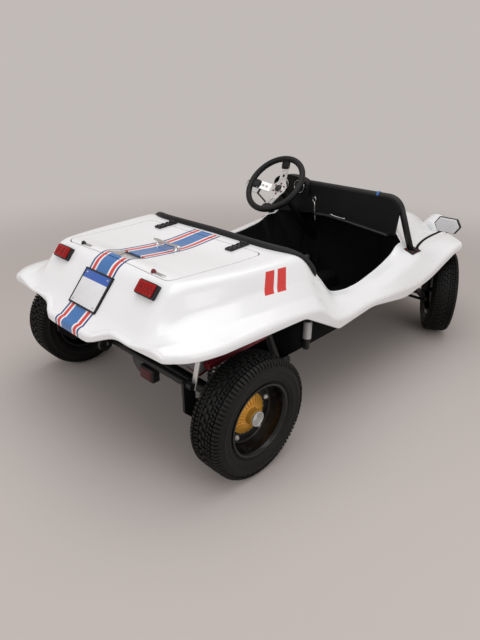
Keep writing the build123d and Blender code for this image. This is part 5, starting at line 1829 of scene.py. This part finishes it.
# Tail lamps: ribbed red lenses on black housings that square them up to the sloping tail panel,
# each held by two screws.
TAIL_SLOPE = math.radians(51)
LAMP_PLACE = (-1.258, 0.350, 0.836)
LAMP_RISE = 0.022
LENS_HALF = (0.057, 0.029)
LENS_THICK = 0.010
RIB_PITCH = 0.0088
slope_out = Vector((-math.sin(TAIL_SLOPE), 0, math.cos(TAIL_SLOPE)))
slope_up = Vector((math.cos(TAIL_SLOPE), 0, math.sin(TAIL_SLOPE)))
tail_frame = axes((0, -1, 0), slope_up, slope_out)


def on_tail(x, y, z, lift):
    # A frame on the tail panel: across to the right, up the slope and out of it
    return Matrix.Translation(Vector((x, y, z)) + slope_out * lift) @ tail_frame


lamp_red = Finish("lamp_red", {"Coat Weight": 0.1, "Coat Roughness": 0.1, "Specular IOR Level": 0.2})
cubes = lamp_red.cells(300)
lamp_red.set("Base Color", lamp_red.mix(cubes, (0.24, 0.001, 0.002), (0.38, 0.002, 0.003)))
lamp_red.set("Roughness", cubes * 0.12 + 0.14)
lamp_red.bump(cubes, 0.25, 0.0008)
dress(moulded_black, "tail_lamp_housings")
lens_parts = []
screw_spots = []
for side in (1, -1):
    place = on_tail(LAMP_PLACE[0], side * LAMP_PLACE[1], LAMP_PLACE[2], LAMP_RISE)
    width, height = LENS_HALF
    lens = block("lens_base", (-width, -height, 0), (width, height, LENS_THICK - 0.003), 0.0025, lamp_red)
    ribs = [lens]
    count = int(2 * (height - 0.005) / RIB_PITCH)
    for index in range(count):
        up = (index - (count - 1) / 2) * RIB_PITCH
        for left, right in ((-width + 0.004, -0.0215), (-0.0185, 0.0185), (0.0215, width - 0.004)):
            low = (left, up - RIB_PITCH * 0.43, 0.003)
            high = (right, up + RIB_PITCH * 0.43, LENS_THICK)
            ribs.append(block("lens_rib", low, high, 0.0028, lamp_red, steps=2))
    lens = joined("lens", ribs)
    lens.data.transform(place)
    lens_parts.append(lens)
    for across in (-0.02, 0.02):
        screw_spots.append((place @ Vector((across, 0, LENS_THICK - 0.0022)), slope_out))
lenses = joined("ribbed_lenses", lens_parts)
lamp_screws = fixings("lamp_screws", screw_spots, hex_bolt(0.0026), chassis_black)
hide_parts("tail_lamp_lenses")
for piece, slot in ((lenses, "red_lens"), (lamp_screws, "chrome")):
    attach(piece, "chassis")

# Number plate: a blank enamelled sheet, white with a blue head band, in a black frame screwed to
# the tail panel.
PLATE_PLACE = (-1.333, 0, 0.756)
PLATE_RISE = 0.009
PLATE_HALF = (0.112, 0.092)
PLATE_BORDER = 0.009
BLUE_BAND = 0.040
BAND_SOFT = 0.0006
PLATE_SCREWS = (0.085, 0.07)
SHEET_SINK = 0.0015
plate_white = Finish("plate_enamel", {"Coat Weight": 0.3, "Coat Roughness": 0.1})
climb = (
    plate_white.axis("X") - PLATE_PLACE[0]
) * slope_up.x + (plate_white.axis("Z") - PLATE_PLACE[2]) * slope_up.z
band_low = PLATE_HALF[1] - PLATE_BORDER - BLUE_BAND
blue = plate_white.ramp(climb, band_low - BAND_SOFT, band_low + BAND_SOFT)
soil = plate_white.noise(16, 5)
white = plate_white.mix(soil, (0.66, 0.68, 0.72), (0.80, 0.81, 0.82))
plate_white.set("Base Color", plate_white.mix(blue, white, (0.025, 0.10, 0.42)))
plate_white.set("Roughness", soil * 0.2 + 0.22)
plate_white.bump(plate_white.noise(90, 3), 0.08, 0.001)
plate_at = on_tail(*PLATE_PLACE, 0)
width, height = PLATE_HALF
frame_bars = (
    ("plate_back", (-width, -height, -0.004), (width, height, PLATE_RISE - 0.003)),
    ("plate_top", (-width, height - PLATE_BORDER, 0), (width, height, PLATE_RISE)),
    ("plate_base", (-width, -height, 0), (width, PLATE_BORDER - height, PLATE_RISE)),
    ("plate_left", (-width, -height, 0), (PLATE_BORDER - width, height, PLATE_RISE)),
    ("plate_right", (width - PLATE_BORDER, -height, 0), (width, height, PLATE_RISE)),
)
frame_bars = [block(name, low, high, 0.002, moulded_black) for name, low, high in frame_bars]
plate_frame = joined("plate_frame", frame_bars)
inner = (width - PLATE_BORDER + 0.001, height - PLATE_BORDER + 0.001)
plate_sheet = block(
    "plate_sheet", (-inner[0], -inner[1], 0.004), (*inner, PLATE_RISE - SHEET_SINK), 0.001, plate_white
)
for piece in (plate_frame, plate_sheet):
    piece.data.transform(plate_at)
screws = []
for x in (-PLATE_SCREWS[0], PLATE_SCREWS[0]):
    for y in (-PLATE_SCREWS[1], PLATE_SCREWS[1]):
        screws.append((plate_at @ Vector((x, y, PLATE_RISE - SHEET_SINK)), slope_out))
plate_screws = fixings("plate_screws", screws, hex_bolt(0.0032), plated)
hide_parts("number_plate")
for piece, slot in ((plate_frame, "black_plastic"), (plate_sheet, "plate"), (plate_screws, "chrome")):
    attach(piece, "chassis")

# Headlamps and fuel cap: bowls in body colour with chromed rims and fluted glass on the nose, and
# a chromed screw cap on the bonnet.
glass = Finish("fluted_glass", {"IOR": 1.45, "Transmission Weight": 0.75})
flutes = glass.math("SINE", glass.axis("Y") * 520)
glass.set("Base Color", glass.mix(flutes, (0.86, 0.88, 0.88), (0.95, 0.96, 0.96)))
glass.set("Roughness", flutes * 0.03 + 0.08)
glass.bump(flutes, 0.5, 0.001)
dress(plated, "fuel_cap")
lamp_bowls = merged_copy("lamp_bowls", "headlamp_bowls", gelcoat)
crease(lamp_bowls.data, 30)
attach(lamp_bowls, "chassis")
dress(glass, "headlamp_lenses")
LAMP_RING = (1.452, 0.370, 0.655, 0.088)
RING_LINE = [
    # along the lamp's axis, and out from the ring's radius
    (-0.006, -0.004), (-0.006, 0.001), (0.002, 0.001), (0.006, -0.004), (0.004, -0.010), (-0.002, -0.010),
]
ring_parts = []
for side in (1, -1):
    x, y, z, radius = LAMP_RING
    line = [(along, radius + out) for along, out in RING_LINE]
    ring_parts.append(turned("lamp_ring", line, 64, (x, side * y, z), (1, 0, 0), plated, 35, closed=True))
lamp_rings = joined("headlamp_rings", ring_parts)
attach(lamp_rings, "chassis")


# Studio: a pale warm-grey floor that runs into the background, one broad soft lamp overhead
# and two weaker ones at the sides. The camera stands behind the right rear corner.
BACKDROP = (0.535, 0.497, 0.478)
FLOOR_SIZE = 40
FLOOR_FADE = (2.2, 5.5)
half = FLOOR_SIZE / 2
floor_corners = [(-half, -half, 0), (half, -half, 0), (half, half, 0), (-half, half, 0)]
paper = Finish("studio_paper", {"Base Color": BACKDROP, "Roughness": 0.9, "Specular IOR Level": 0.1})
reach = paper.node("VectorMath", {"operation": "LENGTH"}, {0: paper.place()}, "Value")
haze = paper.node("Emission", {}, {"Color": BACKDROP})
blend = paper.node("MixShader", {}, {0: paper.ramp(reach, *FLOOR_FADE), 2: haze})
paper.tree.links.new(paper.shader.outputs[0], blend.socket.node.inputs[1])
paper.tree.links.new(blend.socket, paper.tree.nodes["Material Output"].inputs[0])
floor = new_object(
    "studio_floor", mesh_of("studio_floor", floor_corners, [(0, 1, 2, 3)], smooth=False), paper
)

world = bpy.data.worlds.new("studio_light")
world.use_nodes = True
bpy.context.scene.world = world
sky = world.node_tree.nodes["Background"]
sky.inputs["Color"].default_value = (*BACKDROP, 1)
sky.inputs["Strength"].default_value = 1.0

LAMPS = [
    # name, place, aim, width, height, watts
    ("overhead", (-0.4, -0.3, 4.2), (0, 0, 0.4), 4.5, 4.5, 90),
    ("right_side", (-1.0, -4.6, 2.4), (0, 0, 0.5), 3.0, 2.0, 38),
    ("tail_side", (-4.8, 0.8, 2.2), (0, 0, 0.5), 3.0, 2.0, 36),
]
for name, place, aim, width, height, watts in LAMPS:
    lamp = bpy.data.lights.new(name, "AREA")
    lamp.shape = "RECTANGLE"
    lamp.size = width
    lamp.size_y = height
    lamp.energy = watts
    holder = bpy.data.objects.new(name, lamp)
    aimed = (Vector(aim) - Vector(place)).to_track_quat("-Z", "Y")
    holder.matrix_world = Matrix.Translation(place) @ aimed.to_matrix().to_4x4()
    bpy.context.scene.collection.objects.link(holder)

CAMERA_PLACE = (-2.463, -2.052, 1.657)
CAMERA_YAW = math.radians(44.0)
CAMERA_PITCH = math.radians(-24.88)
CAMERA_ROLL = math.radians(1.15)
CAMERA_LENS = 29.27
CAMERA_SENSOR = 36
ahead = Vector(
    (
        math.cos(CAMERA_PITCH) * math.cos(CAMERA_YAW),
        math.cos(CAMERA_PITCH) * math.sin(CAMERA_YAW),
        math.sin(CAMERA_PITCH),
    )
)
level = Vector((math.sin(CAMERA_YAW), -math.cos(CAMERA_YAW), 0))
upward = level.cross(ahead)
right = level * math.cos(CAMERA_ROLL) + upward * math.sin(CAMERA_ROLL)
upward = right.cross(ahead)
camera = bpy.data.cameras.new("photo_camera")
camera.sensor_width = CAMERA_SENSOR
camera.lens = CAMERA_LENS
eye = bpy.data.objects.new("photo_camera", camera)
eye.matrix_world = Matrix.Translation(CAMERA_PLACE) @ axes(right, upward, -ahead)
bpy.context.scene.collection.objects.link(eye)
bpy.context.scene.camera = eye
bpy.context.scene.view_settings.view_transform = "Standard"
